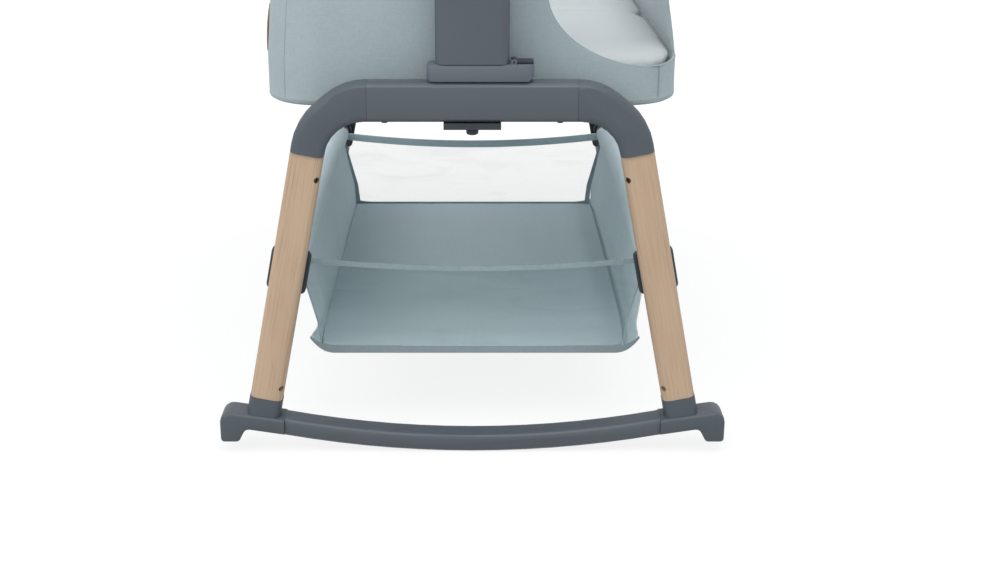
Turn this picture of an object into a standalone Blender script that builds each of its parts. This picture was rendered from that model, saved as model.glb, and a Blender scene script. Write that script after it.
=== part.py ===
"""A bedside crib on a rocking stand.

Two end frames stand on curved rails. Each frame is a beam, two corner castings, two wooden legs
and two foot castings. A carriage slides along each beam and carries an outer column, and the
inner columns inside them carry the bassinet up and down. A storage basket hangs between the
frames on two tubes.

Metres, +Z up. The rails' lowest line is at z = 0 and the plan centre is at x = 0, y = 0.
The near end is at -Y, and +X is the open side that stands against the bed.
"""
import math

import bmesh
import bpy
from mathutils import Matrix, Vector

# Fits and facets
clearance = 0.0003
cut_overrun = 0.004
facet_error = 0.00035
round_sides = 20
small_round_sides = 12

# Stand: the two end frames
frame_spacing = 0.86
feet_span = 0.677
leg_splay_deg = 11.2
leg_length = 0.3404
leg_foot_height = 0.0766
leg_foot_inset = 0.0627
leg_width = 0.043
leg_depth = 0.034
leg_edge_radius = 0.010

# Tenons that the castings push into the legs, the beam and the rail
leg_tenon_width = 0.024
leg_tenon_depth = 0.018
leg_tenon_length = 0.038
beam_tenon_length = 0.030
rail_tenon_height = 0.012
rail_tenon_depth = 0.022
rail_tenon_length = 0.030

# Top beam and its corner castings
casting_leg_flat = 0.0112
casting_beam_flat = 0.0024
beam_height = 0.0508
beam_depth = 0.038
beam_wall = 0.0025
beam_edge_radius = 0.010
casting_corner_reach = 0.07886
casting_outer_radius = 0.080
casting_inner_radius = 0.052
casting_edge_radius = 0.010

# Stops under the beam that end the sideways slide
stop_inset = 0.0212
stop_diameter = 0.008
stop_height = 0.0028
stop_stub_diameter = 0.004

# Rocker rail and foot castings
rail_radius = 1.357
rail_height = 0.0246
rail_depth = 0.037
rail_edge_radius = 0.007
rail_steps = 14
foot_length = 0.0865
foot_depth = 0.044
foot_edge_radius = 0.0045
foot_floor_clearance = 0.0157
foot_top = 0.0605
foot_corner_radius = 0.014
foot_toe_width = 0.0243
foot_toe_slant = 0.0095
foot_arch_height = 0.0340
foot_arch_radius = 0.008
foot_sleeve_width = 0.0442
foot_sleeve_depth = 0.036
foot_sleeve_reach = 0.028
foot_lip = 0.0022

# Leg screws and the open holes below them
screw_head_diameter = 0.008
screw_head_length = 0.0035
screw_shank_diameter = 0.004
screw_shank_length = 0.012
screw_socket_diameter = 0.004
screw_socket_depth = 0.0018
screw_sink = 0.0012
upper_screw_reach = 0.030
lower_hole_reach = 0.018
lower_hole_depth = 0.007

# Tube brackets behind the legs and the two long tubes
bracket_width = 0.0525
bracket_height = 0.057
bracket_tail = 0.0035
bracket_thickness = 0.009
bracket_corner_radius = 0.007
bracket_edge_radius = 0.002
bracket_drop = 0.162
boss_diameter = 0.030
boss_length = 0.018
bore_floor = 0.004
tube_inset = 0.0057
tube_diameter = 0.022
tube_wall = 0.0015

# Storage basket
basket_end_gap = 0.072
sleeve_wall = 0.002
sleeve_start_deg = 250
sleeve_sweep_deg = 330
basket_floor_inset = 0.0305
basket_drop = 0.1396
basket_floor_thickness = 0.005
basket_floor_corner_radius = 0.018
basket_wall_waist_share = 0.32
basket_waist_inset = 0.0245
basket_panel_thickness = 0.0015
basket_rim_drop = 0.0016
basket_rim_sag = 0.0085
basket_rim_steps = 12

# Slide carriage on each beam
collar_left_reach = 0.057
collar_right_reach = 0.077
collar_front_reach = 0.016
collar_back_reach = 0.020
collar_height = 0.022
collar_undercut = 0.006
collar_corner_radius = 0.009
collar_edge_radius = 0.003
saddle_width = 0.073
saddle_web_thickness = 0.005
under_plate_thickness = 0.0085
under_plate_inset = 0.002
brake_pin_diameter = 0.008
brake_head_diameter = 0.0157
brake_head_length = 0.0090
brake_head_edge = 0.003

# Release lever on the collar
lever_barrel_diameter = 0.005
lever_axle_diameter = 0.003
lever_width = 0.018
lever_tip_margin = 0.0005
lever_thickness = 0.004
lever_column_gap = 0.003
lever_edge_radius = 0.0012
ear_width = 0.0035
ear_length = 0.007
ear_height = 0.0055

# Telescopic columns
column_width = 0.0925
column_depth = 0.032
column_wall = 0.003
column_corner_radius = 0.011
column_length = 0.1923
inner_column_wall = 0.003
inner_column_overlap = 0.068
height_travel = 0.120

# Head that joins an inner column to the bassinet's rim, with its release button
head_width = 0.104
head_height = 0.0745
head_front_overhang = 0.004
head_edge_radius = 0.006
button_width = 0.030
button_height = 0.018
button_depth = 0.009
button_proud = 0.005
button_edge_radius = 0.002
button_travel = 0.004

# Bassinet shell
bassinet_end_gap = 0.040
bassinet_half_width = 0.270
bassinet_corner_radius = 0.075
bassinet_drop = 0.0425
shell_thickness = 0.004
hem_radius = 0.010
hem_angles_deg = (0, 35, 65, 90)
corner_seam_deg = 55.0
band_height = 0.0554
wall_lean_deg = 4.9
barrier_draw = 0.010
rim_lift = 0.0597
rim_dip = 0.152
rim_tube_diameter = 0.016
rim_slope_reach = 0.024
window_high_x = 0.085
window_low_x = 0.098
window_arc_half_width = 0.142
window_arc_height = 0.092
window_arc_lift = 0.050
window_thickness = 0.002
barrier_edge_run = 0.010

# Inside the bassinet
tray_thickness = 0.010
tray_edge_radius = 0.002
slab_corner_slack = 0.004
board_thickness = 0.008
mattress_gap = 0.004
mattress_height = 0.038
mattress_crown = 0.005
mattress_edge_draw = 0.009
mattress_fold_depth = 0.004

# Leather pull tab on the closed side
tab_width = 0.040
tab_height = 0.064
tab_thickness = 0.0025
tab_lift = 0.0879
tab_corner_gap = 0.030
tab_corner_radius = 0.010

# Shares that shape curves: where along a run something happens
wall_row_shares = (0.35, 0.7, 1.0)
window_arc_shares = (0.0, 0.06, 0.2, 0.4, 0.6)
mattress_x_shares = (-1.0, -0.93, -0.74, -0.37, 0.0, 0.37, 0.74, 0.93, 1.0)
mattress_y_shares = (-1.0, -0.95, -0.82, -0.05, 0.0, 0.05, 0.82, 0.95, 1.0)
mattress_z_shares = (-1.0, -0.8, -0.5, -0.25, 0.0, 0.25, 0.5, 0.8, 1.0)
head_button_share = 0.5
end_flat_shares = (-0.66, -0.33, 0.0, 0.22)

# Worked out from the sizes above
leg_splay = math.radians(leg_splay_deg)
wall_lean = math.radians(wall_lean_deg)
leg_axis = Vector((math.sin(leg_splay), -math.cos(leg_splay)))
leg_across = Vector((math.cos(leg_splay), math.sin(leg_splay)))
leg_foot = Vector((feet_span / 2 - leg_foot_inset, leg_foot_height))
leg_middle = leg_foot - leg_axis * leg_length / 2
leg_top = leg_foot - leg_axis * leg_length
rail_half_span = feet_span / 2 - foot_length
corner_turn = math.pi / 2 - leg_splay
casting_rise = (casting_corner_reach + casting_leg_flat) * leg_across.x + leg_across.y * leg_width / 2
beam_top = leg_top.y + casting_rise
corner_x = leg_top.x + leg_width / 2 / leg_across.x - math.tan(leg_splay) * casting_rise
beam_half_length = corner_x - casting_corner_reach - casting_beam_flat
casting_cut_reach = casting_corner_reach - casting_outer_radius * math.tan(corner_turn / 4)
beam_bottom = beam_top - beam_height
stop_offset = beam_half_length - stop_inset
frame_plane = frame_spacing / 2
leg_back = frame_plane - leg_depth / 2
bracket_centre_height = leg_top.y - bracket_drop
bracket_along = (leg_middle.y - bracket_centre_height) / math.cos(leg_splay)
tube_offset = leg_middle.x + leg_axis.x * bracket_along - tube_inset
basket_half_length = frame_plane - basket_end_gap
basket_floor_half_width = tube_offset - basket_floor_inset
basket_floor_bottom = bracket_centre_height - basket_drop
basket_wall_waist = tube_offset - basket_waist_inset
basket_rim_height = bracket_centre_height - basket_rim_drop
collar_bottom = beam_top + clearance
collar_top = collar_bottom + collar_height
column_bottom = collar_top + clearance
column_top = column_bottom + column_length
head_bottom = column_top + clearance
inner_column_reach = height_travel + inner_column_overlap
bassinet_half_length = frame_plane - bassinet_end_gap
bassinet_bottom = beam_top - bassinet_drop
band_top = bassinet_bottom + band_height
window_arc_bottom = bassinet_bottom + window_arc_lift
rim_high = head_bottom + rim_lift
rim_low = rim_high - rim_dip
rim_radius = rim_tube_diameter / 2
bore_diameter = tube_diameter + 2 * clearance
tray_inset = hem_radius + clearance
board_bottom = bassinet_bottom + tray_thickness + clearance
mattress_bottom = board_bottom + board_thickness + clearance
mattress_inset = shell_thickness + mattress_gap
corner_centre_y = bassinet_half_length - bassinet_corner_radius
tab_centre_height = bassinet_bottom + tab_lift
tab_centre_y = tab_corner_gap - corner_centre_y
end_half_run = bassinet_half_width - bassinet_corner_radius

ends = {"near": -1, "far": 1}
sides = {"left": -1, "right": 1}

parts_collection = None
cutters_collection = None
materials = {}


def clear_scene():
    """Empties the scene, so that the script gives the same result each run."""
    for old in list(bpy.data.objects):
        bpy.data.objects.remove(old, do_unlink=True)


def make_collections():
    """One collection for the crib and one for its cutters."""
    global parts_collection, cutters_collection
    parts_collection = bpy.data.collections.new("bedside_crib")
    cutters_collection = bpy.data.collections.new("cutters")
    for collection in (parts_collection, cutters_collection):
        bpy.context.scene.collection.children.link(collection)


def material(name, colour, roughness, metallic=0.0):
    """A Principled material, made once for each name."""
    if name not in materials:
        made = bpy.data.materials.new(name)
        made.use_nodes = True
        shader = made.node_tree.nodes["Principled BSDF"]
        shader.inputs["Base Color"].default_value = (*colour, 1.0)
        shader.inputs["Roughness"].default_value = roughness
        shader.inputs["Metallic"].default_value = metallic
        made.diffuse_color = (*colour, 1.0)
        materials[name] = made
    return materials[name]


def grey_plastic():
    return material("slate_plastic", (0.105, 0.122, 0.140), 0.45)


def dark_plastic():
    return material("dark_plastic", (0.036, 0.045, 0.055), 0.5)


def painted_metal():
    return material("slate_painted_metal", (0.109, 0.127, 0.146), 0.4, 0.3)


def oak():
    return material("oak", (0.50, 0.36, 0.24), 0.55)


def steel():
    return material("steel", (0.12, 0.12, 0.13), 0.35, 1.0)


def teal_fabric():
    return material("teal_fabric", (0.26, 0.33, 0.36), 0.9)


def sheer_mesh():
    return material("sheer_mesh", (0.30, 0.38, 0.40), 0.9)


def mattress_cover():
    return material("mattress_cover", (0.56, 0.60, 0.62), 0.9)


def board_grey():
    return material("board_grey", (0.30, 0.31, 0.32), 0.8)


def leather():
    return material("brown_leather", (0.25, 0.11, 0.045), 0.55)


def add_part(name, mesh, finish, cutter=False):
    """Puts a mesh in the scene as a part of the crib or as a hidden cutter."""
    made = bpy.data.objects.new(name, mesh)
    if cutter:
        cutters_collection.objects.link(made)
        made.hide_render = True
        made.display_type = "WIRE"
    else:
        parts_collection.objects.link(made)
        mesh.materials.clear()
        mesh.materials.append(finish)
    return made


def mesh_from(bm, name):
    """Closes a bmesh into a mesh with its faces pointing out."""
    bmesh.ops.recalc_face_normals(bm, faces=bm.faces)
    mesh = bpy.data.meshes.new(name)
    bm.to_mesh(mesh)
    bm.free()
    return mesh


def box_mesh(name, low, high):
    """A box between two corners."""
    bm = bmesh.new()
    bmesh.ops.create_cube(bm, size=1.0)
    size = Vector(high) - Vector(low)
    middle = (Vector(high) + Vector(low)) / 2
    bmesh.ops.scale(bm, vec=size, verts=bm.verts)
    bmesh.ops.translate(bm, vec=middle, verts=bm.verts)
    return mesh_from(bm, name)


def cylinder_mesh(name, start, end, diameter, sides_count=round_sides):
    """A cylinder from one point to another."""
    start = Vector(start)
    run = Vector(end) - start
    bm = bmesh.new()
    bmesh.ops.create_cone(bm, cap_ends=True, segments=sides_count, radius1=diameter / 2,
                          radius2=diameter / 2, depth=run.length)
    turn = run.to_track_quat("Z", "Y").to_matrix().to_4x4()
    place = Matrix.Translation(start + run / 2) @ turn
    bmesh.ops.transform(bm, matrix=place, verts=bm.verts)
    return mesh_from(bm, name)


def rounded_outline(corners):
    """Points of an outline whose corners (a, b, radius) become arcs."""
    points = []
    count = len(corners)
    for index, (a, b, radius) in enumerate(corners):
        corner = Vector((a, b))
        if radius == 0:
            points.append(corner)
            continue
        before = (Vector(corners[index - 1][:2]) - corner).normalized()
        after = (Vector(corners[(index + 1) % count][:2]) - corner).normalized()
        half_angle = before.angle(after) / 2
        reach = radius / math.tan(half_angle)
        centre = corner + (before + after).normalized() * (radius / math.sin(half_angle))
        start = corner + before * reach - centre
        finish = corner + after * reach - centre
        turn = math.copysign(math.pi - 2 * half_angle, start.cross(finish))
        arc_step = 2 * math.acos(1 - min(facet_error / radius, 0.5))
        steps = max(2, math.ceil(abs(turn) / arc_step))
        for step in range(steps + 1):
            spun = start.copy()
            spun.rotate(Matrix.Rotation(turn * step / steps, 2))
            points.append(centre + spun)
    return points


def box_corners(low, high, radius):
    """The four corners of a rounded rectangle."""
    return [(low[0], low[1], radius), (high[0], low[1], radius),
            (high[0], high[1], radius), (low[0], high[1], radius)]


def flat_curve_mesh(name, loops, thickness):
    """Fills flat loops in XY and thickens them along Z."""
    curve = bpy.data.curves.new(name, "CURVE")
    curve.dimensions = "2D"
    curve.fill_mode = "BOTH"
    curve.extrude = thickness / 2
    for loop in loops:
        spline = curve.splines.new("POLY")
        spline.points.add(len(loop) - 1)
        for point, place in zip(spline.points, loop):
            point.co = (place[0], place[1], 0.0, 1.0)
        spline.use_cyclic_u = True
    holder = bpy.data.objects.new(name, curve)
    bpy.context.scene.collection.objects.link(holder)
    graph = bpy.context.evaluated_depsgraph_get()
    mesh = bpy.data.meshes.new_from_object(holder.evaluated_get(graph))
    bpy.data.objects.remove(holder, do_unlink=True)
    bpy.data.curves.remove(curve)
    bm = bmesh.new()
    bm.from_mesh(mesh)
    bpy.data.meshes.remove(mesh)
    bmesh.ops.remove_doubles(bm, verts=bm.verts, dist=clearance / 10)
    if len(loops) == 1:
        bmesh.ops.dissolve_limit(bm, angle_limit=math.radians(0.1), verts=bm.verts, edges=bm.edges)
    return mesh_from(bm, name)


def stand_up(mesh, y_middle):
    """Turns a mesh drawn in XY so that it stands in XZ around y_middle."""
    mesh.transform(Matrix.Translation((0, y_middle, 0)) @ Matrix.Rotation(math.pi / 2, 4, "X"))


def lie_along_x(mesh):
    """Turns a mesh drawn in XY so that its first axis is Y, its second Z and its depth X."""
    mesh.transform(Matrix(((0, 0, 1, 0), (1, 0, 0, 0), (0, 1, 0, 0), (0, 0, 0, 1))))


def weigh_outline_edges(mesh, sharp_points, across):
    """Marks the rims of a slab for rounding. An edge between two sharp corners stays sharp."""
    bm = bmesh.new()
    bm.from_mesh(mesh)
    layer = bm.edges.layers.float.new("bevel_weight_edge")
    keys = [tuple(round(c, 5) for c in point) for point in sharp_points]
    flat = [axis for axis in range(3) if axis != across]
    for edge in bm.edges:
        first, second = edge.verts
        if abs(first.co[across] - second.co[across]) > clearance:
            continue
        ends_sharp = [tuple(round(vert.co[axis], 5) for axis in flat) in keys
                      for vert in edge.verts]
        if not all(ends_sharp):
            edge[layer] = 1.0
    bm.to_mesh(mesh)
    bm.free()


def bevel(part, width, segments=3, weighted=False):
    """Rounds the edges of a part."""
    modifier = part.modifiers.new("rounding", "BEVEL")
    modifier.width = width
    modifier.segments = segments
    modifier.limit_method = "WEIGHT" if weighted else "ANGLE"
    modifier.angle_limit = math.radians(40)
    modifier.use_clamp_overlap = True
    return modifier


def cut(part, cutter):
    """Cuts a cutter away from a part."""
    modifier = part.modifiers.new("cut", "BOOLEAN")
    modifier.operation = "DIFFERENCE"
    modifier.object = cutter


def join(part, addition):
    """Joins a hidden shape to a part."""
    modifier = part.modifiers.new("join", "BOOLEAN")
    modifier.operation = "UNION"
    modifier.object = addition


def tool(name, mesh):
    """A hidden cutter or addition."""
    return add_part(name, mesh, None, cutter=True)


def leg_point(side, along, across):
    """A point in the frame's plane, measured from the leg's middle along and across the leg."""
    place = leg_middle + leg_axis * along + leg_across * across
    return (side * place.x, place.y)


def leg_turn(side):
    """The leg's lean as a rotation about Y."""
    return Matrix.Rotation(-side * leg_splay, 4, "Y")


def leg_box(name, side, end, along_low, along_high, width, depth):
    """A box in the leg's own lean, from along_low to along_high."""
    mesh = box_mesh(name, (-width / 2, -depth / 2, -along_high), (width / 2, depth / 2, -along_low))
    x, z = leg_point(side, 0, 0)
    mesh.transform(Matrix.Translation((x, end * frame_plane, z)) @ leg_turn(side))
    return mesh


def screw_place(side, end, reach_from_top):
    """The point on a leg's rounded inner edge where a screw goes in, and its inward direction."""
    inset = leg_edge_radius * (1 - math.sqrt(0.5))
    across = -(leg_width / 2 - inset)
    along = -leg_length / 2 + reach_from_top
    x, z = leg_point(side, along, across)
    y = end * (frame_plane + leg_depth / 2 - inset)
    inward = leg_turn(side) @ Vector((side, 0, 0))
    direction = (inward + Vector((0, -end, 0))).normalized()
    return Vector((x, y, z)), direction


def make_beam(label, end):
    """The hollow beam across the top of an end frame, with the two stops plugged in under it."""
    low = (-beam_depth / 2, beam_bottom)
    high = (beam_depth / 2, beam_top)
    outer = rounded_outline(box_corners(low, high, beam_edge_radius))
    hole_low = (low[0] + beam_wall, low[1] + beam_wall)
    hole_high = (high[0] - beam_wall, high[1] - beam_wall)
    hole = rounded_outline(box_corners(hole_low, hole_high, beam_edge_radius - beam_wall))
    mesh = flat_curve_mesh("beam", [outer, hole], 2 * beam_half_length)
    lie_along_x(mesh)
    mesh.transform(Matrix.Translation((0, end * frame_plane, 0)))
    part = add_part(f"beam_{label}", mesh, painted_metal())
    for name, side in sides.items():
        top = Vector((side * stop_offset, end * frame_plane, beam_bottom - clearance))
        bottom = Vector((top.x, top.y, beam_bottom - stop_height))
        stub_top = Vector((top.x, top.y, beam_bottom + beam_wall))
        hole_top = stub_top + Vector((0, 0, clearance))
        hole_bottom = bottom - Vector((0, 0, cut_overrun))
        hole = cylinder_mesh("stop_hole", hole_top, hole_bottom, stop_stub_diameter + 2 * clearance)
        cut(part, tool(f"stop_hole_{label}_{name}", hole))
        head = cylinder_mesh("stop", top, bottom, stop_diameter)
        stop = add_part(f"slide_stop_{label}_{name}", head, dark_plastic())
        bevel(stop, lever_edge_radius / 2, 2)
        stub = cylinder_mesh("stub", stub_top, (top + bottom) / 2, stop_stub_diameter)
        join(stop, tool(f"stop_stub_{label}_{name}", stub))


def make_corner_casting(label, end, name, side):
    """The moulded corner between the beam and a leg, with its two tenons."""
    half = leg_width / 2
    joint = -leg_length / 2 - clearance
    outer_x, outer_z = leg_point(side, joint, half)
    inner_x, inner_z = leg_point(side, joint, -half)
    seam = side * (beam_half_length + clearance)
    lean = side * math.tan(leg_splay)
    outer_corner = (outer_x - lean * (beam_top - outer_z), beam_top)
    leg_shoulder = (outer_corner[0] + side * casting_cut_reach * leg_axis.x,
                    beam_top + casting_cut_reach * leg_axis.y)
    corners = [(seam, beam_bottom, 0),
               (inner_x - lean * (beam_bottom - inner_z), beam_bottom, casting_inner_radius),
               (inner_x, inner_z, 0),
               (outer_x, outer_z, 0),
               (*leg_shoulder, casting_outer_radius),
               (outer_corner[0] - side * casting_cut_reach, beam_top, casting_outer_radius),
               (seam, beam_top, 0)]
    mesh = flat_curve_mesh("casting", [rounded_outline(corners)], beam_depth)
    stand_up(mesh, 0)
    weigh_outline_edges(mesh, [(seam, beam_bottom), (inner_x, inner_z),
                               (outer_x, outer_z), (seam, beam_top)], 1)
    mesh.transform(Matrix.Translation((0, end * frame_plane, 0)))
    part = add_part(f"corner_casting_{label}_{name}", mesh, grey_plastic())
    bevel(part, casting_edge_radius, 3, weighted=True)
    tenon = leg_box("leg_tenon", side, end, joint - cut_overrun, joint + leg_tenon_length,
                    leg_tenon_width, leg_tenon_depth)
    join(part, tool(f"corner_leg_tenon_{label}_{name}", tenon))
    fit = beam_wall + clearance
    reach = sorted((seam + side * cut_overrun, seam - side * beam_tenon_length))
    plug = box_mesh("beam_tenon",
                    (reach[0], end * frame_plane - beam_depth / 2 + beam_edge_radius, beam_bottom + fit),
                    (reach[1], end * frame_plane + beam_depth / 2 - beam_edge_radius, beam_top - fit))
    join(part, tool(f"corner_beam_tenon_{label}_{name}", plug))
    screw_hole(part, side, end, f"corner_{label}_{name}")


def screw_hole(part, side, end, tag):
    """The hole that a leg screw's shank takes in the part that it passes through."""
    place, direction = screw_place(side, end, upper_screw_reach)
    finish = place + direction * (screw_sink + screw_head_length + screw_shank_length + clearance)
    shank = cylinder_mesh("shank_hole", place, finish, screw_shank_diameter + 2 * clearance,
                          small_round_sides)
    cut(part, tool(f"{tag}_shank_hole", shank))


def make_leg(label, end, name, side):
    """A wooden leg with a mortise at each end, a screw hole and an open hole."""
    half = leg_length / 2
    mesh = box_mesh("leg", (-leg_width / 2, -leg_depth / 2, -half),
                    (leg_width / 2, leg_depth / 2, half))
    bm = bmesh.new()
    bm.from_mesh(mesh)
    layer = bm.edges.layers.float.new("bevel_weight_edge")
    for edge in bm.edges:
        if abs(edge.verts[0].co.z - edge.verts[1].co.z) > half:
            edge[layer] = 1.0
    bm.to_mesh(mesh)
    bm.free()
    x, z = leg_point(side, 0, 0)
    part = add_part(f"leg_{label}_{name}", mesh, oak())
    part.location = (x, end * frame_plane, z)
    part.rotation_euler = (0, -side * leg_splay, 0)
    bevel(part, leg_edge_radius, 3, weighted=True)
    mortise_depth = leg_tenon_length + clearance
    for place, low, high in (("top", -half - cut_overrun, -half + mortise_depth),
                             ("bottom", half - mortise_depth, half + cut_overrun)):
        mortise = leg_box("mortise", side, end, low, high, leg_tenon_width + 2 * clearance,
                          leg_tenon_depth + 2 * clearance)
        cut(part, tool(f"mortise_{label}_{name}_{place}", mortise))
    screw_hole(part, side, end, f"leg_{label}_{name}")
    holes = (("screw", upper_screw_reach, screw_sink + screw_head_length + clearance),
             ("open", leg_length - lower_hole_reach, lower_hole_depth))
    for tag, reach, depth in holes:
        place, direction = screw_place(side, end, reach)
        mouth = cylinder_mesh("hole", place - direction * cut_overrun, place + direction * depth,
                              screw_head_diameter + 2 * clearance)
        cut(part, tool(f"{tag}_hole_{label}_{name}", mouth))


def make_leg_screw(label, end, name, side):
    """A socket-head screw through the leg's inner edge into the casting's tenon."""
    place, direction = screw_place(side, end, upper_screw_reach)
    head_start = place + direction * screw_sink
    head_end = head_start + direction * screw_head_length
    mesh = cylinder_mesh("screw", head_start, head_end, screw_head_diameter)
    part = add_part(f"leg_screw_{label}_{name}", mesh, steel())
    shank_end = head_end + direction * screw_shank_length
    shank = cylinder_mesh("shank", head_end - direction * (screw_head_length / 2), shank_end,
                          screw_shank_diameter, small_round_sides)
    join(part, tool(f"shank_{label}_{name}", shank))
    socket = cylinder_mesh("socket", head_start - direction * cut_overrun,
                           head_start + direction * screw_socket_depth, screw_socket_diameter, 6)
    cut(part, tool(f"socket_{label}_{name}", socket))


def rail_height_at(x, offset=0.0):
    """Height of the rail's curve at x, for its underside or a line above it."""
    radius = rail_radius - offset
    return rail_radius - math.sqrt(radius * radius - x * x)


def make_rail(label, end):
    """The curved rail that an end frame rocks on."""
    steps = [rail_half_span * (2 * step / rail_steps - 1) for step in range(rail_steps + 1)]
    under = [(x, rail_height_at(x)) for x in steps]
    over = [(x, rail_height_at(x, rail_height)) for x in reversed(steps)]
    mesh = flat_curve_mesh("rail", [under + over], rail_depth)
    stand_up(mesh, 0)
    weigh_outline_edges(mesh, [under[0], under[-1], over[0], over[-1]], 1)
    mesh.transform(Matrix.Translation((0, end * frame_plane, 0)))
    part = add_part(f"rocker_rail_{label}", mesh, painted_metal())
    bevel(part, rail_edge_radius, 3, weighted=True)
    for name, side in sides.items():
        pocket = rail_tenon_mesh(side, end, clearance)
        cut(part, tool(f"rail_pocket_{label}_{name}", pocket))


def rail_tenon_mesh(side, end, grow):
    """The tenon between a foot casting and the rail's end, grown by a fit for its pocket."""
    angle = math.asin(rail_half_span / rail_radius)
    middle = rail_height_at(rail_half_span, rail_height / 2)
    outside = cut_overrun
    mesh = box_mesh("rail_tenon",
                    (-rail_tenon_length - grow, -rail_tenon_depth / 2 - grow,
                     -rail_tenon_height / 2 - grow),
                    (outside, rail_tenon_depth / 2 + grow, rail_tenon_height / 2 + grow))
    turn = Matrix.Rotation(-angle, 4, "Y")
    place = Matrix.Translation((rail_half_span, 0, middle)) @ turn
    mesh.transform(place)
    if side < 0:
        mesh.transform(Matrix.Rotation(math.pi, 4, "Z"))
    mesh.transform(Matrix.Translation((0, end * frame_plane, 0)))
    return mesh


def make_foot(label, end, name, side):
    """The foot casting: a sleeve under the leg, an arm to the rail and a toe that limits rocking."""
    joint = leg_length / 2 + clearance
    outer_face = feet_span / 2
    toe_inner = outer_face - foot_toe_width
    seam = rail_half_span + clearance
    seam_bottom = rail_height_at(rail_half_span) + foot_lip
    seam_top = rail_height_at(rail_half_span, rail_height) - foot_lip / 2
    corners = [(outer_face, foot_floor_clearance, foot_edge_radius + clearance),
               (outer_face, foot_top, foot_corner_radius),
               (seam, seam_top, 0),
               (seam, seam_bottom, 0),
               (toe_inner - foot_toe_slant, foot_arch_height, foot_arch_radius),
               (toe_inner, foot_floor_clearance, foot_edge_radius + clearance)]
    corners = [(side * x, z, radius) for x, z, radius in corners]
    mesh = flat_curve_mesh("foot", [rounded_outline(corners)], foot_depth)
    stand_up(mesh, 0)
    sharp = [(x, z) for x, z, radius in corners if radius == 0]
    weigh_outline_edges(mesh, sharp, 1)
    mesh.transform(Matrix.Translation((0, end * frame_plane, 0)))
    part = add_part(f"foot_{label}_{name}", mesh, grey_plastic())
    bevel(part, foot_edge_radius, 3, weighted=True)
    half_w = foot_sleeve_width / 2
    half_d = foot_sleeve_depth / 2
    section = rounded_outline(box_corners((-half_w, -half_d), (half_w, half_d), leg_edge_radius))
    sleeve = flat_curve_mesh("sleeve", [section], foot_sleeve_reach)
    sleeve.transform(Matrix.Translation((0, 0, -joint - foot_sleeve_reach / 2)))
    x, z = leg_point(side, 0, 0)
    sleeve.transform(Matrix.Translation((x, end * frame_plane, z)) @ leg_turn(side))
    join(part, tool(f"foot_sleeve_{label}_{name}", sleeve))
    tenon = leg_box("foot_tenon", side, end, joint - leg_tenon_length, joint + cut_overrun,
                    leg_tenon_width, leg_tenon_depth)
    join(part, tool(f"foot_leg_tenon_{label}_{name}", tenon))
    join(part, tool(f"foot_rail_tenon_{label}_{name}", rail_tenon_mesh(side, end, 0)))


def make_tube_bracket(label, end, name, side):
    """The bracket behind a leg that holds the end of a long tube."""
    half_w = bracket_width / 2
    half_h = bracket_height / 2
    corners = box_corners((-half_w, -half_h - bracket_tail), (half_w, half_h), bracket_corner_radius)
    mesh = flat_curve_mesh("bracket", [rounded_outline(corners)], bracket_thickness)
    stand_up(mesh, 0)
    x, z = leg_point(side, bracket_along, 0)
    front = leg_back - clearance
    middle_y = end * (front - bracket_thickness / 2)
    mesh.transform(Matrix.Translation((x, middle_y, z)) @ leg_turn(side))
    part = add_part(f"tube_bracket_{label}_{name}", mesh, dark_plastic())
    bevel(part, bracket_edge_radius, 1)
    inner_face = front - bracket_thickness - boss_length
    centre = (side * tube_offset, bracket_centre_height)
    boss = cylinder_mesh("boss", (centre[0], end * (front - bracket_thickness / 2), centre[1]),
                         (centre[0], end * inner_face, centre[1]), boss_diameter)
    join(part, tool(f"boss_{label}_{name}", boss))
    bore = cylinder_mesh("bore", (centre[0], end * (front - bore_floor), centre[1]),
                         (centre[0], end * (inner_face - cut_overrun), centre[1]), bore_diameter)
    cut(part, tool(f"tube_bore_{label}_{name}", bore))


def make_side_tube(name, side):
    """A long steel tube that ties the end frames together and carries the basket."""
    half = leg_back - bore_floor - 2 * clearance
    centre = (side * tube_offset, bracket_centre_height)
    mesh = cylinder_mesh("tube", (centre[0], -half, centre[1]), (centre[0], half, centre[1]),
                         tube_diameter)
    part = add_part(f"side_tube_{name}", mesh, painted_metal())
    bore = cylinder_mesh("tube_inside", (centre[0], -half - cut_overrun, centre[1]),
                         (centre[0], half + cut_overrun, centre[1]), tube_diameter - 2 * tube_wall)
    cut(part, tool(f"tube_inside_{name}", bore))


def make_basket_wall(name, side):
    """A basket side: a sleeve around the long tube and a wall that hangs from it to the floor."""
    radius = tube_diameter / 2 + clearance + sleeve_wall
    turns = round_sides
    hole_radius = radius - sleeve_wall
    centre = Vector((tube_offset, bracket_centre_height))
    hole = [centre + hole_radius * Vector((math.cos(a), math.sin(a)))
            for a in (2 * math.pi * step / turns for step in range(turns))]
    start = math.radians(sleeve_start_deg)
    sweep = math.radians(sleeve_sweep_deg)
    ring = [centre + radius * Vector((math.cos(start - sweep * step / turns),
                                      math.sin(start - sweep * step / turns)))
            for step in range(turns + 1)]
    foot_x = basket_floor_half_width + clearance
    waist_z = basket_floor_bottom + basket_wall_waist_share * (centre.y - basket_floor_bottom)
    outer = [Vector((basket_wall_waist + sleeve_wall, waist_z)),
             Vector((foot_x + sleeve_wall, basket_floor_bottom))]
    inner = [Vector((foot_x, basket_floor_bottom)), Vector((basket_wall_waist, waist_z))]
    outline = list(reversed(ring)) + inner[::-1] + outer[::-1]
    loops = [[(side * p.x, p.y) for p in outline], [(side * p.x, p.y) for p in hole]]
    mesh = flat_curve_mesh("basket_wall", loops, 2 * basket_half_length)
    stand_up(mesh, 0)
    add_part(f"basket_wall_{name}", mesh, teal_fabric())


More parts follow.
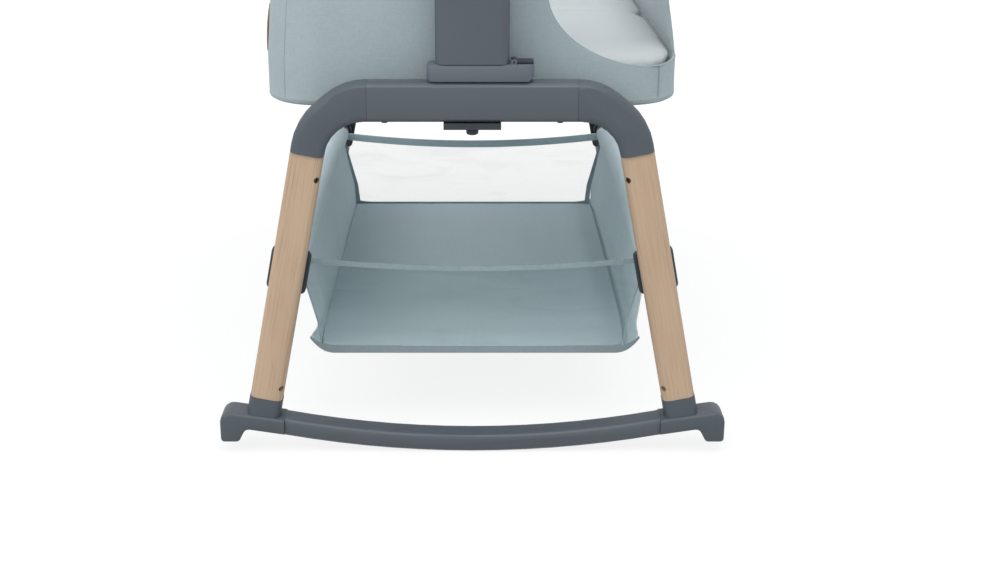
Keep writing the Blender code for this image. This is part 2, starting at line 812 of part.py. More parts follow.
def make_basket_floor():
    """The stiff floor of the basket."""
    low = (-basket_floor_half_width, -basket_half_length)
    high = (basket_floor_half_width, basket_half_length)
    outline = rounded_outline(box_corners(low, high, basket_floor_corner_radius))
    mesh = flat_curve_mesh("basket_floor", [outline], basket_floor_thickness)
    mesh.transform(Matrix.Translation((0, 0, basket_floor_bottom + basket_floor_thickness / 2)))
    add_part("basket_floor", mesh, teal_fabric())


def make_basket_end(label, end):
    """The sheer end panel of the basket, whose top edge sags between the two tubes."""
    top_half = tube_offset - tube_diameter / 2 - sleeve_wall
    rim = []
    for step in range(basket_rim_steps + 1):
        share = 2 * step / basket_rim_steps - 1
        rim.append((top_half * share, basket_rim_height - basket_rim_sag * (1 - share * share)))
    base = [(basket_floor_half_width, basket_floor_bottom),
            (-basket_floor_half_width, basket_floor_bottom)]
    mesh = flat_curve_mesh("basket_end", [rim + base], basket_panel_thickness)
    stand_up(mesh, end * (basket_half_length + clearance + basket_panel_thickness / 2))
    add_part(f"basket_end_{label}", mesh, sheer_mesh())


def make_collar(label, end):
    """The collar that slides on the beam and carries the column, with the lever's two ears."""
    reaches = sorted((end * (frame_plane + collar_front_reach), end * (frame_plane - collar_back_reach)))
    outline = rounded_outline(box_corners((-collar_left_reach, reaches[0]),
                                          (collar_right_reach, reaches[1]), collar_corner_radius))
    mesh = flat_curve_mesh("collar", [outline], collar_height)
    mesh.transform(Matrix.Translation((0, 0, collar_top - collar_height / 2)))
    part = add_part(f"collar_{label}", mesh, grey_plastic())
    bevel(part, collar_edge_radius, 2)
    undercut = cylinder_mesh("undercut",
                             (collar_right_reach, reaches[0] - cut_overrun, collar_bottom),
                             (collar_right_reach, reaches[1] + cut_overrun, collar_bottom),
                             2 * collar_undercut)
    cut(part, tool(f"undercut_{label}", undercut))
    pivot_x, pivot_y, pivot_z = lever_pivot(end)
    for tag, hand in (("a", -1), ("b", 1)):
        inner = pivot_y + hand * (lever_width / 2 + clearance)
        outer = inner + hand * ear_width
        ear = box_mesh("ear", (pivot_x - ear_length / 2, min(inner, outer),
                               collar_top - cut_overrun),
                       (pivot_x + ear_length / 2, max(inner, outer), collar_top + ear_height))
        join(part, tool(f"ear_{label}_{tag}", ear))
        hole = cylinder_mesh("axle_hole", (pivot_x, inner - hand * clearance, pivot_z),
                             (pivot_x, outer + hand * cut_overrun, pivot_z),
                             lever_axle_diameter + 2 * clearance, small_round_sides)
        cut(part, tool(f"axle_hole_{label}_{tag}", hole))


def lever_pivot(end):
    """Where the release lever turns."""
    x = column_width / 2 + lever_column_gap + lever_barrel_diameter / 2
    return (x, end * frame_plane, collar_top + clearance + lever_barrel_diameter / 2)


def make_release_lever(label, end):
    """The lift tab that frees the slide. Its object's origin is on its axle."""
    pivot = Vector(lever_pivot(end))
    reach = collar_right_reach - lever_tip_margin - pivot.x
    floor = -lever_barrel_diameter / 2
    mesh = box_mesh("lever", (0, -lever_width / 2, floor),
                    (reach, lever_width / 2, floor + lever_thickness))
    part = add_part(f"release_lever_{label}", mesh, dark_plastic())
    part.location = pivot
    bevel(part, lever_edge_radius, 2)
    half = lever_width / 2
    barrel = cylinder_mesh("barrel", pivot - Vector((0, half, 0)), pivot + Vector((0, half, 0)),
                           lever_barrel_diameter)
    join(part, tool(f"lever_barrel_{label}", barrel))
    half = lever_width / 2 + ear_width
    axle = cylinder_mesh("axle", pivot - Vector((0, half, 0)), pivot + Vector((0, half, 0)),
                         lever_axle_diameter, small_round_sides)
    join(part, tool(f"lever_axle_{label}", axle))


def make_saddle(label, end):
    """The plate under the beam and its web behind the beam, which keep the collar on it."""
    half = saddle_width / 2
    web_front = frame_plane - collar_back_reach - clearance
    web_back = web_front - saddle_web_thickness
    web_middle = (web_front + web_back) / 2
    plate_top = beam_bottom - clearance
    plate_bottom = plate_top - under_plate_thickness
    web = box_mesh("saddle_web",
                   (-half, min(end * web_front, end * web_back), plate_bottom),
                   (half, max(end * web_front, end * web_back), collar_top))
    part = add_part(f"under_plate_{label}", web, dark_plastic())
    bevel(part, lever_edge_radius, 2)
    plate_front = frame_plane + beam_depth / 2 - under_plate_inset
    plate_low = plate_bottom + clearance
    plate = box_mesh("plate",
                     (clearance - half, min(end * plate_front, end * web_middle), plate_low),
                     (half - clearance, max(end * plate_front, end * web_middle), plate_top))
    join(part, tool(f"plate_{label}", plate))
    bore = cylinder_mesh("pin_bore", (0, end * frame_plane, plate_bottom - cut_overrun),
                         (0, end * frame_plane, plate_top + cut_overrun),
                         brake_pin_diameter + 2 * clearance)
    cut(part, tool(f"pin_bore_{label}", bore))


def make_brake_pin(label, end):
    """The brake pin that presses on the beam from below. Its origin is at its top."""
    top = Vector((0, end * frame_plane, beam_bottom - clearance))
    head_top = top.z - under_plate_thickness - clearance
    mesh = cylinder_mesh("pin_head", (0, 0, head_top - top.z),
                         (0, 0, head_top - brake_head_length - top.z), brake_head_diameter)
    part = add_part(f"brake_pin_{label}", mesh, dark_plastic())
    part.location = top
    bevel(part, brake_head_edge, 2)
    shank = cylinder_mesh("pin_shank", top, (0, top.y, head_top - brake_head_length / 2),
                          brake_pin_diameter)
    join(part, tool(f"pin_shank_{label}", shank))


def column_ring(half_width, half_depth, wall, radius):
    """The two loops of a hollow column's section."""
    outer = rounded_outline(box_corners((-half_width, -half_depth), (half_width, half_depth), radius))
    inner = rounded_outline(box_corners((-half_width + wall, -half_depth + wall),
                                        (half_width - wall, half_depth - wall), radius - wall))
    return [outer, inner]


def make_outer_column(label, end):
    """The hollow outer column that stands on the collar."""
    loops = column_ring(column_width / 2, column_depth / 2, column_wall, column_corner_radius)
    mesh = flat_curve_mesh("outer_column", loops, column_top - column_bottom)
    mesh.transform(Matrix.Translation((0, end * frame_plane, (column_top + column_bottom) / 2)))
    add_part(f"outer_column_{label}", mesh, painted_metal())


def make_inner_column(label, end):
    """The inner column with the head that holds the bassinet's rim."""
    fit = column_wall + clearance
    loops = column_ring(column_width / 2 - fit, column_depth / 2 - fit, inner_column_wall,
                        column_corner_radius - fit)
    low = head_bottom - inner_column_reach
    high = head_bottom + head_edge_radius
    mesh = flat_curve_mesh("inner_column", loops, high - low)
    mesh.transform(Matrix.Translation((0, end * frame_plane, (high + low) / 2)))
    part = add_part(f"inner_column_{label}", mesh, painted_metal())
    front = frame_plane + column_depth / 2 + head_front_overhang
    wall_face = bassinet_half_length + clearance
    head_top = head_bottom + head_height
    cap_back = rim_y() - rim_radius - head_edge_radius
    cap_low = rim_high - rim_radius + clearance
    corners = [(end * front, head_bottom, head_edge_radius),
               (end * front, head_top, head_edge_radius),
               (end * cap_back, head_top, head_edge_radius / 2),
               (end * cap_back, cap_low, 0),
               (end * wall_face, cap_low, 0),
               (end * wall_face, head_bottom, 0)]
    mesh = flat_curve_mesh("head", [rounded_outline(corners)], head_width)
    lie_along_x(mesh)
    weigh_outline_edges(mesh, [(y, z) for y, z, radius in corners if radius == 0], 0)
    head = tool(f"head_{label}", mesh)
    bevel(head, head_edge_radius / 2, 2, weighted=True)
    join(part, head)
    rim_hole = cylinder_mesh("rim_hole", (-head_width, end * rim_y(), rim_high),
                             (head_width, end * rim_y(), rim_high),
                             rim_tube_diameter + 2 * clearance)
    cut(part, tool(f"rim_hole_{label}", rim_hole))
    button_z = head_bottom + head_height * head_button_share
    pocket_y = sorted((end * (front + cut_overrun), end * (front - button_depth - button_travel)))
    half_w = button_width / 2 + clearance
    half_h = button_height / 2 + clearance
    pocket = box_mesh("button_pocket", (-half_w, pocket_y[0], button_z - half_h),
                      (half_w, pocket_y[1], button_z + half_h))
    cut(part, tool(f"button_pocket_{label}", pocket))


def make_height_button(label, end):
    """The button in the head that frees the inner column. It travels into its pocket."""
    front = frame_plane + column_depth / 2 + head_front_overhang
    button_z = head_bottom + head_height * head_button_share
    y_range = sorted((end * button_proud, end * (clearance - button_depth)))
    mesh = box_mesh("button", (-button_width / 2, y_range[0], -button_height / 2),
                    (button_width / 2, y_range[1], button_height / 2))
    part = add_part(f"height_button_{label}", mesh, dark_plastic())
    part.location = (0, end * front, button_z)
    bevel(part, button_edge_radius, 2)


def rim_y():
    """How far the rim tube's straight end run lies from the middle."""
    return bassinet_half_length - shell_thickness / 2


def smooth(share):
    """A smooth step from 0 to 1."""
    share = min(1.0, max(0.0, share))
    return share * share * (3 - 2 * share)


def half_width_at(z, side):
    """Half of the bassinet's width at a height, which draws in above the band."""
    above = max(0.0, z - band_top)
    drawn = barrier_draw * smooth(above / (rim_low - band_top)) if side > 0 else 0.0
    return bassinet_half_width - above * math.tan(wall_lean) - drawn


def plan_point(station, z, inset, end):
    """A point on the bassinet's rounded plan. A station is (kind, side, value)."""
    kind, side, value = station
    width = half_width_at(z, side)
    run = width - bassinet_corner_radius
    if kind == "end":
        return Vector((side * value * run, end * (bassinet_half_length - inset), z))
    radius = bassinet_corner_radius - inset
    if kind == "corner":
        angle = math.radians(value)
        return Vector((side * (run + radius * math.cos(angle)),
                       end * (corner_centre_y + radius * math.sin(angle)), z))
    return Vector((side * (width - inset), end * value * corner_centre_y, z))


def station_x(station):
    """The nominal sideways place of a station on an end of the bassinet."""
    kind, side, value = station
    if kind == "end":
        return side * value * end_half_run
    return side * (end_half_run + bassinet_corner_radius * math.cos(math.radians(value)))


def fan(side, start_deg, finish_deg, steps):
    """Stations around a corner between two angles, 0 on the side and 90 on the end."""
    return [("corner", side, start_deg + (finish_deg - start_deg) * step / steps)
            for step in range(steps + 1)]


def rim_run(station):
    """How far along the rim a station lies past the start of its dip to the open side."""
    kind, side, value = station
    if kind == "end":
        return value * end_half_run - window_high_x
    return end_half_run - window_high_x + bassinet_corner_radius * math.radians(90 - value)


def rim_height_at_run(run):
    """Height of the rim tube's middle at a run past the start of its dip."""
    whole = end_half_run - window_high_x + bassinet_corner_radius * math.pi / 2
    return rim_high - (rim_high - rim_low) * smooth(run / whole)


def rim_height(station):
    """Height of the rim tube's middle. It dips from the ends down to the open side."""
    kind, side, value = station
    if side < 0:
        return rim_high
    if kind == "side":
        return rim_low
    return rim_height_at_run(rim_run(station))


def window_edge(x):
    """Height of the fabric's curved edge on an end panel, which sweeps down to the open side."""
    top = rim_high - rim_radius - clearance
    arc_top = window_arc_bottom + window_arc_height
    if x <= window_high_x:
        return top
    if x <= window_low_x:
        share = (x - window_high_x) / (window_low_x - window_high_x)
        return top + (arc_top - top) * share
    middle = window_low_x + window_arc_half_width
    across = min(1.0, max(0.0, (middle - x) / window_arc_half_width))
    return arc_top - window_arc_height * math.sqrt(1 - across * across)


def band_edge(station):
    """Height of the low band around a corner of the open side."""
    share = 1 - min(1.0, station[2] / corner_seam_deg)
    start = window_edge(end_half_run + bassinet_corner_radius * math.cos(math.radians(corner_seam_deg)))
    return start + (band_top - start) * smooth(share)


def wall_rows(bottom, top, thickness, hem):
    """A wall's rows from its foot to its top, as outer height and inset, then inner ones."""
    rows = [(bottom, 0.0, bottom, thickness)]
    if hem:
        inner = hem_radius - thickness
        centre = bassinet_bottom + hem_radius
        rows = []
        for angle_deg in hem_angles_deg:
            down = math.cos(math.radians(angle_deg))
            out = math.sin(math.radians(angle_deg))
            rows.append((centre - hem_radius * down, hem_radius * (1 - out),
                         centre - inner * down, hem_radius - inner * out))
    start = rows[-1][0]
    heights = [start + (top - start) * share for share in wall_row_shares]
    return rows + [(z, 0.0, z, thickness) for z in heights]


def make_wall(name, columns, finish, base_inset=0.0):
    """A closed shell along the bassinet's plan. A column is (station, end, rows)."""
    bm = bmesh.new()
    rings = []
    for station, end, rows in columns:
        outer = [plan_point(station, row[0], base_inset + row[1], end) for row in rows]
        inner = [plan_point(station, row[2], base_inset + row[3], end) for row in rows]
        rings.append([bm.verts.new(point) for point in outer + inner[::-1]])
    for first, second in zip(rings, rings[1:]):
        for index in range(len(first)):
            bm.faces.new((first[index - 1], first[index], second[index], second[index - 1]))
    half = len(columns[0][2])
    for ring in (rings[0], rings[-1]):
        for index in range(half - 1):
            bm.faces.new((ring[index], ring[index + 1], ring[-index - 2], ring[-index - 1]))
    part = add_part(name, mesh_from(bm, name), finish)
    return part


def seam_deg(hand):
    """The corner seam's angle, moved by half a clearance to one hand of the seam."""
    return corner_seam_deg + hand * math.degrees(clearance / bassinet_corner_radius) / 2


def window_start():
    """The station where the sheer panel begins, on the steep part of the fabric's edge."""
    return ("end", 1, (window_high_x + (window_low_x - window_high_x) / 3) / end_half_run)


def sweep_stations():
    """Stations along the fabric's curved edge on an end panel."""
    places = [window_low_x + window_arc_half_width * share for share in window_arc_shares]
    return [("end", 1, x / end_half_run) for x in places]


def end_stations():
    """Stations of an end panel from the left corner seam to the right one."""
    flat = [("end", math.copysign(1, share), abs(share)) for share in end_flat_shares]
    flat += [("end", 1, window_high_x / end_half_run), window_start()]
    return (fan(-1, seam_deg(1), 90, 3) + flat + sweep_stations() + fan(1, 90, seam_deg(1), 3))


def make_end_wall(label, end):
    """The fabric end panel, cut away in a sweep towards the open side."""
    columns = []
    for station in end_stations():
        top = window_edge(station_x(station))
        columns.append((station, end, wall_rows(bassinet_bottom, top, shell_thickness, True)))
    make_wall(f"bassinet_end_{label}", columns, teal_fabric())


def rim_underside(station):
    """Height under the rim tube at a station, allowing for the tube's slope."""
    run = rim_run(station)
    height = rim_height(station)
    shrink = (half_width_at(height, 1) - bassinet_corner_radius) / end_half_run
    steps = (-rim_slope_reach, rim_slope_reach)
    slope = max(abs(rim_height_at_run(run + step) - height) for step in steps)
    slope = slope / rim_slope_reach / shrink
    return height - (rim_radius + clearance) * math.hypot(1, slope)


def make_window(label, end):
    """The sheer panel between the end panel's sweep and the rim."""
    stations = [window_start()] + sweep_stations()
    stations += fan(1, 90, corner_seam_deg, 3) + fan(1, corner_seam_deg, 0, 4)[1:]
    columns = []
    for station in stations:
        in_band = station[0] == "corner" and station[2] < corner_seam_deg
        low = band_edge(station) if in_band else window_edge(station_x(station) - clearance)
        rows = wall_rows(low + clearance, rim_underside(station), window_thickness, False)
        columns.append((station, end, rows))
    inset = (shell_thickness - window_thickness) / 2
    make_wall(f"mesh_window_{label}", columns, sheer_mesh(), inset)


def side_columns(side, top_at):
    """Columns of a side wall from the near corner seam around to the far one."""
    columns = []
    for end, order in ((-1, 1), (1, -1)):
        edge_share = 1 - barrier_edge_run / corner_centre_y
        run = fan(side, seam_deg(-1), 0, 4) + [("side", side, edge_share), ("side", side, 0.5)]
        for station in run[::order]:
            rows = wall_rows(bassinet_bottom, top_at(station), shell_thickness, True)
            columns.append((station, end, rows))
        if end < 0:
            middle = ("side", side, 0.0)
            rows = wall_rows(bassinet_bottom, top_at(middle), shell_thickness, True)
            columns.append((middle, end, rows))
    return columns


def make_side_walls():
    """The high closed side and the low open side with its barrier."""
    def closed_top(station):
        return rim_high - rim_radius - clearance

    def open_top(station):
        if station[0] == "corner":
            return band_edge(station)
        return rim_low - rim_radius - clearance

    make_wall("bassinet_closed_side", side_columns(-1, closed_top), teal_fabric())
    make_wall("bassinet_open_side", side_columns(1, open_top), teal_fabric())


def make_rim_tube():
    """The bent steel tube around the top of the bassinet, as one closed loop."""
    inset = shell_thickness / 2
    near_half = [("side", -1, 0.0), ("side", -1, 0.5)] + fan(-1, 0, 90, 6)
    near_half += [("end", -1, 0.5), ("end", 1, 0.0), ("end", 1, window_high_x / end_half_run)]
    near_half += [window_start()] + sweep_stations() + fan(1, 90, corner_seam_deg, 3)
    near_half += fan(1, corner_seam_deg, 0, 4)[1:] + [("side", 1, 0.5)]
    route = [plan_point(station, rim_height(station), inset, -1) for station in near_half]
    far_half = [("side", 1, 0.0)] + near_half[1:][::-1]
    route += [plan_point(station, rim_height(station), inset, 1) for station in far_half]
    curve = bpy.data.curves.new("rim_tube", "CURVE")
    curve.dimensions = "3D"
    curve.bevel_depth = rim_radius
    curve.bevel_resolution = 2
    spline = curve.splines.new("POLY")
    spline.points.add(len(route) - 1)
    for point, place in zip(spline.points, route):
        point.co = (*place, 1.0)
    spline.use_cyclic_u = True
    holder = bpy.data.objects.new("rim_route", curve)
    bpy.context.scene.collection.objects.link(holder)
    graph = bpy.context.evaluated_depsgraph_get()
    mesh = bpy.data.meshes.new_from_object(holder.evaluated_get(graph))
    bpy.data.objects.remove(holder, do_unlink=True)
    bpy.data.curves.remove(curve)
    add_part("rim_tube", mesh, painted_metal())


def plan_slab(name, inset, bottom, thickness, finish, edge_radius):
    """A flat slab with the bassinet's plan."""
    half_x = bassinet_half_width - inset
    half_y = bassinet_half_length - inset
    radius = bassinet_corner_radius - inset + slab_corner_slack
    outline = rounded_outline(box_corners((-half_x, -half_y), (half_x, half_y), radius))
    mesh = flat_curve_mesh(name, [outline], thickness)
    mesh.transform(Matrix.Translation((0, 0, bottom + thickness / 2)))
    part = add_part(name, mesh, finish)
    bevel(part, edge_radius, 2)


def make_mattress():
    """The mattress: crowned, its edges drawn in, its corners round, with a fold across its middle."""
    steps = len(mattress_x_shares) - 1
    bm = bmesh.new()
    bmesh.ops.create_cube(bm, size=1.0)
    bmesh.ops.subdivide_edges(bm, edges=bm.edges, cuts=steps - 1, use_grid_fill=True)
    half = Vector((bassinet_half_width, bassinet_half_length)) - Vector((1, 1)) * mattress_inset
    radius = bassinet_corner_radius - mattress_inset
    for vert in bm.verts:
        x_share, y_share, z_share = [
            shares[round((place + 0.5) * steps)] for shares, place in
            zip((mattress_x_shares, mattress_y_shares, mattress_z_shares), vert.co)]
        place = Vector((x_share * half.x, y_share * half.y))
        core = Vector([max(-reach, min(reach, value)) for value, reach in
                       zip(place, (half.x - radius, half.y - radius))])
        out = place - core
        if out.length > 0:
            out = out.normalized() * max(abs(out.x), abs(out.y))
            if max(abs(x_share), abs(y_share)) == 1:
                out = out.normalized() * (out.length - mattress_edge_draw * z_share ** 4)
        vert.co.xy = core + out
        rise = mattress_crown * (1 - x_share ** 2) * (1 - y_share ** 2)
        fold = mattress_fold_depth * (1 - x_share ** 2) if y_share == 0 else 0.0
        vert.co.z = z_share * mattress_height / 2 + (rise - fold if z_share == 1 else 0.0)
    bmesh.ops.translate(bm, vec=(0, 0, mattress_bottom + mattress_height / 2), verts=bm.verts)
    part = add_part("mattress", mesh_from(bm, "mattress"), mattress_cover())
    part.data.shade_smooth()


def make_leather_tab():
    """The leather pull tab stitched to the closed side."""
    corners = box_corners((-tab_width / 2, -tab_height / 2), (tab_width / 2, tab_height / 2),
                          tab_corner_radius)
    mesh = flat_curve_mesh("leather_tab", [rounded_outline(corners)], tab_thickness)
    lie_along_x(mesh)
    face = half_width_at(tab_centre_height, -1) + clearance + tab_thickness / 2
    part = add_part("leather_tab", mesh, leather())
    part.location = (-face, tab_centre_y, tab_centre_height)
    part.rotation_euler = (0, wall_lean, 0)


def make_end_frame(label, end):
    """One end frame of the stand with everything that rides on its beam."""
    make_beam(label, end)
    make_rail(label, end)
    for name, side in sides.items():
        make_corner_casting(label, end, name, side)
        make_leg(label, end, name, side)
        make_leg_screw(label, end, name, side)
        make_foot(label, end, name, side)
        make_tube_bracket(label, end, name, side)
    make_collar(label, end)
    make_saddle(label, end)
    make_release_lever(label, end)
    make_brake_pin(label, end)
    make_outer_column(label, end)
    make_inner_column(label, end)
    make_height_button(label, end)


def build():
    """Builds the whole crib."""
    clear_scene()
    make_collections()
    for label, end in ends.items():
        make_end_frame(label, end)
    for name, side in sides.items():
        make_side_tube(name, side)
        make_basket_wall(name, side)
    make_basket_floor()
    for label, end in ends.items():
        make_basket_end(label, end)
        make_end_wall(label, end)
        make_window(label, end)
    make_side_walls()
    make_rim_tube()
    plan_slab("bassinet_tray", tray_inset, bassinet_bottom, tray_thickness, teal_fabric(),
              tray_edge_radius)
    plan_slab("base_board", tray_inset, board_bottom, board_thickness, board_grey(),
              tray_edge_radius)
    make_mattress()
    make_leather_tab()


build()
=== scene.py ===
# %% [markdown]
# # A bedside crib, dressed in cloth, oak and slate plastic
# The crib is a real object with two kinds of parts. The hard ones, such as the legs, rails and
# beams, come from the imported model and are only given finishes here. The soft ones, such as
# the bassinet's walls and the storage basket, are sewn in this script as thin cloth.
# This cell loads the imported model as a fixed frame. Everything is in metres, with Z up.

import math

import bpy
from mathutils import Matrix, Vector, noise


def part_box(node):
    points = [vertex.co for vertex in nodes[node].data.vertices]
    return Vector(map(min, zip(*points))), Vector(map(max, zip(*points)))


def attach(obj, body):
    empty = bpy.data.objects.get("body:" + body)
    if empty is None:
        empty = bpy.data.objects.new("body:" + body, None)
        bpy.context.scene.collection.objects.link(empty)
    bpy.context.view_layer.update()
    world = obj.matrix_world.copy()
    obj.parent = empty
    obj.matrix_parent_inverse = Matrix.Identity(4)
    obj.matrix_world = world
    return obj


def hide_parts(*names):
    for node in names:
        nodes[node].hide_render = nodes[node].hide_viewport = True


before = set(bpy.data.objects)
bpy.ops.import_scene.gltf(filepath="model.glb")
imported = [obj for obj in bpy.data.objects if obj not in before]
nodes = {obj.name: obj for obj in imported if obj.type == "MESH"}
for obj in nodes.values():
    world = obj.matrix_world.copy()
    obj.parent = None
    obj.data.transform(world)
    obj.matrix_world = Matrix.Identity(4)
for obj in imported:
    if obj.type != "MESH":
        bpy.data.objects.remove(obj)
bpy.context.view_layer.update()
ends = {"near": -1, "far": 1}
sides = {"left": -1, "right": 1}

# %% [markdown]
# ## The camera
# A camera can be placed by eye, but matching a photograph is easier with numbers. A lens of
# 54 mm on a 36 mm sensor gives the same perspective as the photograph, from about 2.3 m away
# and looking down by 19 degrees. The small sideways shift moves the frame, not the viewpoint.

# %% Camera
def add_object(name, data):
    """An object of the scene that shows a mesh, a curve, a lamp or a camera."""
    made = bpy.data.objects.new(name, data)
    bpy.context.scene.collection.objects.link(made)
    return made


camera_data = bpy.data.cameras.new("camera")
camera_data.lens = 54.0
camera_data.sensor_width = 36.0
camera_data.shift_x = 0.0272
camera_data.clip_end = 60.0
camera = add_object("camera", camera_data)
camera.location = (0.0006, -2.288, 0.8740)
camera.rotation_euler = (math.radians(90 - 19.392), 0, 0)
bpy.context.scene.camera = camera
print("camera at", tuple(round(v, 3) for v in camera.location))

# %% [markdown]
# ## Node helpers
# Materials in Blender are small graphs. Typing each link by hand gets long, so a few helpers keep
# the cells short. `node` adds one node and fills its sockets, where a value may also be another
# node's output. `new_group` starts a reusable effect with named inputs and outputs.


# %% Node helpers
def feed(tree, target, inputs):
    """Fills a node's sockets, by name or number, with values or other nodes' outputs."""
    for key, value in dict(inputs).items():
        if isinstance(value, bpy.types.NodeSocket):
            tree.links.new(value, target.inputs[key])
        else:
            target.inputs[key].default_value = value


def node(tree, kind, inputs=(), **settings):
    """Adds a node with its settings, and fills its sockets."""
    made = tree.nodes.new(kind)
    for key, value in settings.items():
        setattr(made, key, value)
    feed(tree, made, inputs)
    return made


def math_node(tree, operation, a, b=0.0, c=0.0):
    """The output of one sum, product or other operation on numbers."""
    return node(tree, "ShaderNodeMath", {0: a, 1: b, 2: c}, operation=operation).outputs[0]


def vector_node(tree, operation, a, b):
    """The output of one operation on coordinates."""
    return node(tree, "ShaderNodeVectorMath", {0: a, 1: b}, operation=operation).outputs[0]


def noise_node(tree, place, scale=1.0, detail=2.0, **more):
    """Soft random clouds, from 0 to 1."""
    return node(tree, "ShaderNodeTexNoise",
                {"Vector": place, "Scale": scale, "Detail": detail, **more}).outputs["Fac"]


def remap(tree, value, low, high, to_low=0.0, to_high=1.0):
    """A number carried over from one range to another, and kept inside it."""
    return node(tree, "ShaderNodeMapRange", {"Value": value, "From Min": low, "From Max": high,
                                             "To Min": to_low, "To Max": to_high}).outputs[0]


def two_tone(tree, share, first, second):
    """A mix of two colours by a share."""
    return node(tree, "ShaderNodeMix", {0: share, 6: first, 7: second},
                data_type="RGBA").outputs[2]


def new_group(name, inputs, outputs=("Color", "Height", "Roughness")):
    """A group and its two ends. None makes an input for a place, and a tuple one for a colour."""
    group = bpy.data.node_groups.new(name, "ShaderNodeTree")
    for label, value in inputs.items():
        kind = "Vector" if value is None else "Color" if isinstance(value, tuple) else "Float"
        socket = group.interface.new_socket(name=label, in_out="INPUT",
                                            socket_type=f"NodeSocket{kind}")
        if value is not None:
            socket.default_value = value
    for label in outputs:
        kind = "Color" if label == "Color" else "Float"
        group.interface.new_socket(name=label, in_out="OUTPUT", socket_type=f"NodeSocket{kind}")
    given = group.nodes.new("NodeGroupInput").outputs
    return group, given, group.nodes.new("NodeGroupOutput")


def rgba(colour):
    """A colour with full opacity, as colour sockets want it."""
    return (*colour, 1.0)


print("helpers ready")

# %% [markdown]
# ## Melange cloth
# The crib's cloth is a melange: pale and darker yarns spun together, so up close it shows short
# streaks along both thread directions, and from afar a soft even tone. A picture of cloth would
# be the quick way, but noise that is stretched along each thread direction gives the same
# streaks at any size. The coordinates are the cloth's own, in metres, so the yarn has one
# thickness on every panel.

# %% Cloth group
melange, given, result = new_group(
    "melange_cloth", {"Vector": None, "Yarn": (0.3, 0.38, 0.41, 1), "Fleck": (0.15, 0.2, 0.22, 1),
                      "Fleck amount": 0.4, "Thread": 0.0011})


def yarn_streaks(tree, place, thread, along, seed):
    """Noise stretched along one thread direction, about eight threads long."""
    across = math_node(tree, "DIVIDE", 1.0, thread)
    long = math_node(tree, "MULTIPLY", across, 0.12)
    x, y = (long, across) if along == "x" else (across, long)
    scale = node(tree, "ShaderNodeCombineXYZ", {"X": x, "Y": y, "Z": across}).outputs[0]
    scaled = vector_node(tree, "MULTIPLY", place, scale)
    return noise_node(tree, vector_node(tree, "ADD", scaled, (seed, seed, seed)), 0.8)


place, thread = given["Vector"], given["Thread"]
both = math_node(melange, "ADD", yarn_streaks(melange, place, thread, "x", 3.0),
                 yarn_streaks(melange, place, thread, "y", 11.0))
fleck = math_node(melange, "MULTIPLY", remap(melange, both, 0.82, 1.22), given["Fleck amount"])
clouds = remap(melange, noise_node(melange, place, 9.0, 3.0), 0.3, 0.7, -0.1, 0.1)
share = math_node(melange, "ADD", fleck, clouds)
split = node(melange, "ShaderNodeSeparateXYZ", {0: place}).outputs
turn = math_node(melange, "DIVIDE", 2 * math.pi, thread)
waves = [math_node(melange, "SINE", math_node(melange, "MULTIPLY", split[i], turn))
         for i in (0, 1)]
knots = math_node(melange, "MULTIPLY", *waves)
feed(melange, result, {"Color": two_tone(melange, share, given["Yarn"], given["Fleck"]),
                       "Height": math_node(melange, "MULTIPLY_ADD", knots, 0.3, both),
                       "Roughness": math_node(melange, "MULTIPLY_ADD", both, -0.08, 0.98)})
print("group:", melange.name, "with", len(melange.nodes), "nodes")

# %% [markdown]
# ## Wood grain
# The legs are turned from pale oak. Oak shows two things along its length: fine dark pores, and
# wider bands where the yearly rings are cut. Both are noise or waves stretched along the leg,
# so the group expects coordinates whose Z runs along the grain.

# %% Wood group
grain, given, result = new_group(
    "oak_grain", {"Vector": None, "Early wood": (0.48, 0.350, 0.245, 1),
                  "Late wood": (0.25, 0.155, 0.09, 1), "Pores": 0.42})
place = given["Vector"]
drift = noise_node(grain, vector_node(grain, "MULTIPLY", place, (26, 26, 5)))
rings = node(grain, "ShaderNodeTexWave",
             {"Vector": vector_node(grain, "MULTIPLY", place, (1, 1, 0.05)), "Scale": 60.0,
              "Distortion": 3.0, "Detail": 3.0, "Detail Scale": 0.6},
             wave_type="BANDS", bands_direction="X").outputs["Fac"]
fibres = noise_node(grain, vector_node(grain, "MULTIPLY", place, (1000, 1000, 11)), 1.0, 3.0)
pores = remap(grain, fibres, 0.56, 0.70)
band = math_node(grain, "MULTIPLY", rings, 0.05)
band = math_node(grain, "MULTIPLY_ADD", drift, 0.40, band)
band = math_node(grain, "MULTIPLY_ADD", pores, given["Pores"], band)
band = math_node(grain, "SUBTRACT", band, 0.05)
feed(grain, result, {"Color": two_tone(grain, band, given["Early wood"], given["Late wood"]),
                     "Height": math_node(grain, "SUBTRACT", 1.0, pores),
                     "Roughness": math_node(grain, "MULTIPLY_ADD", pores, 0.2, 0.5)})
print("group:", grain.name, "with", len(grain.nodes), "nodes")

# %% [markdown]
# ## Moulded and painted surfaces
# Moulded plastic has a fine even texture from the mould, and powder paint has a softer one like
# orange peel. Both are a small bump and a slight change of gloss, so one group serves them at
# different scales. It also lays a little dust and handling haze over the colour, because a
# perfectly even colour is what makes a render look like plastic when it shouldn't.

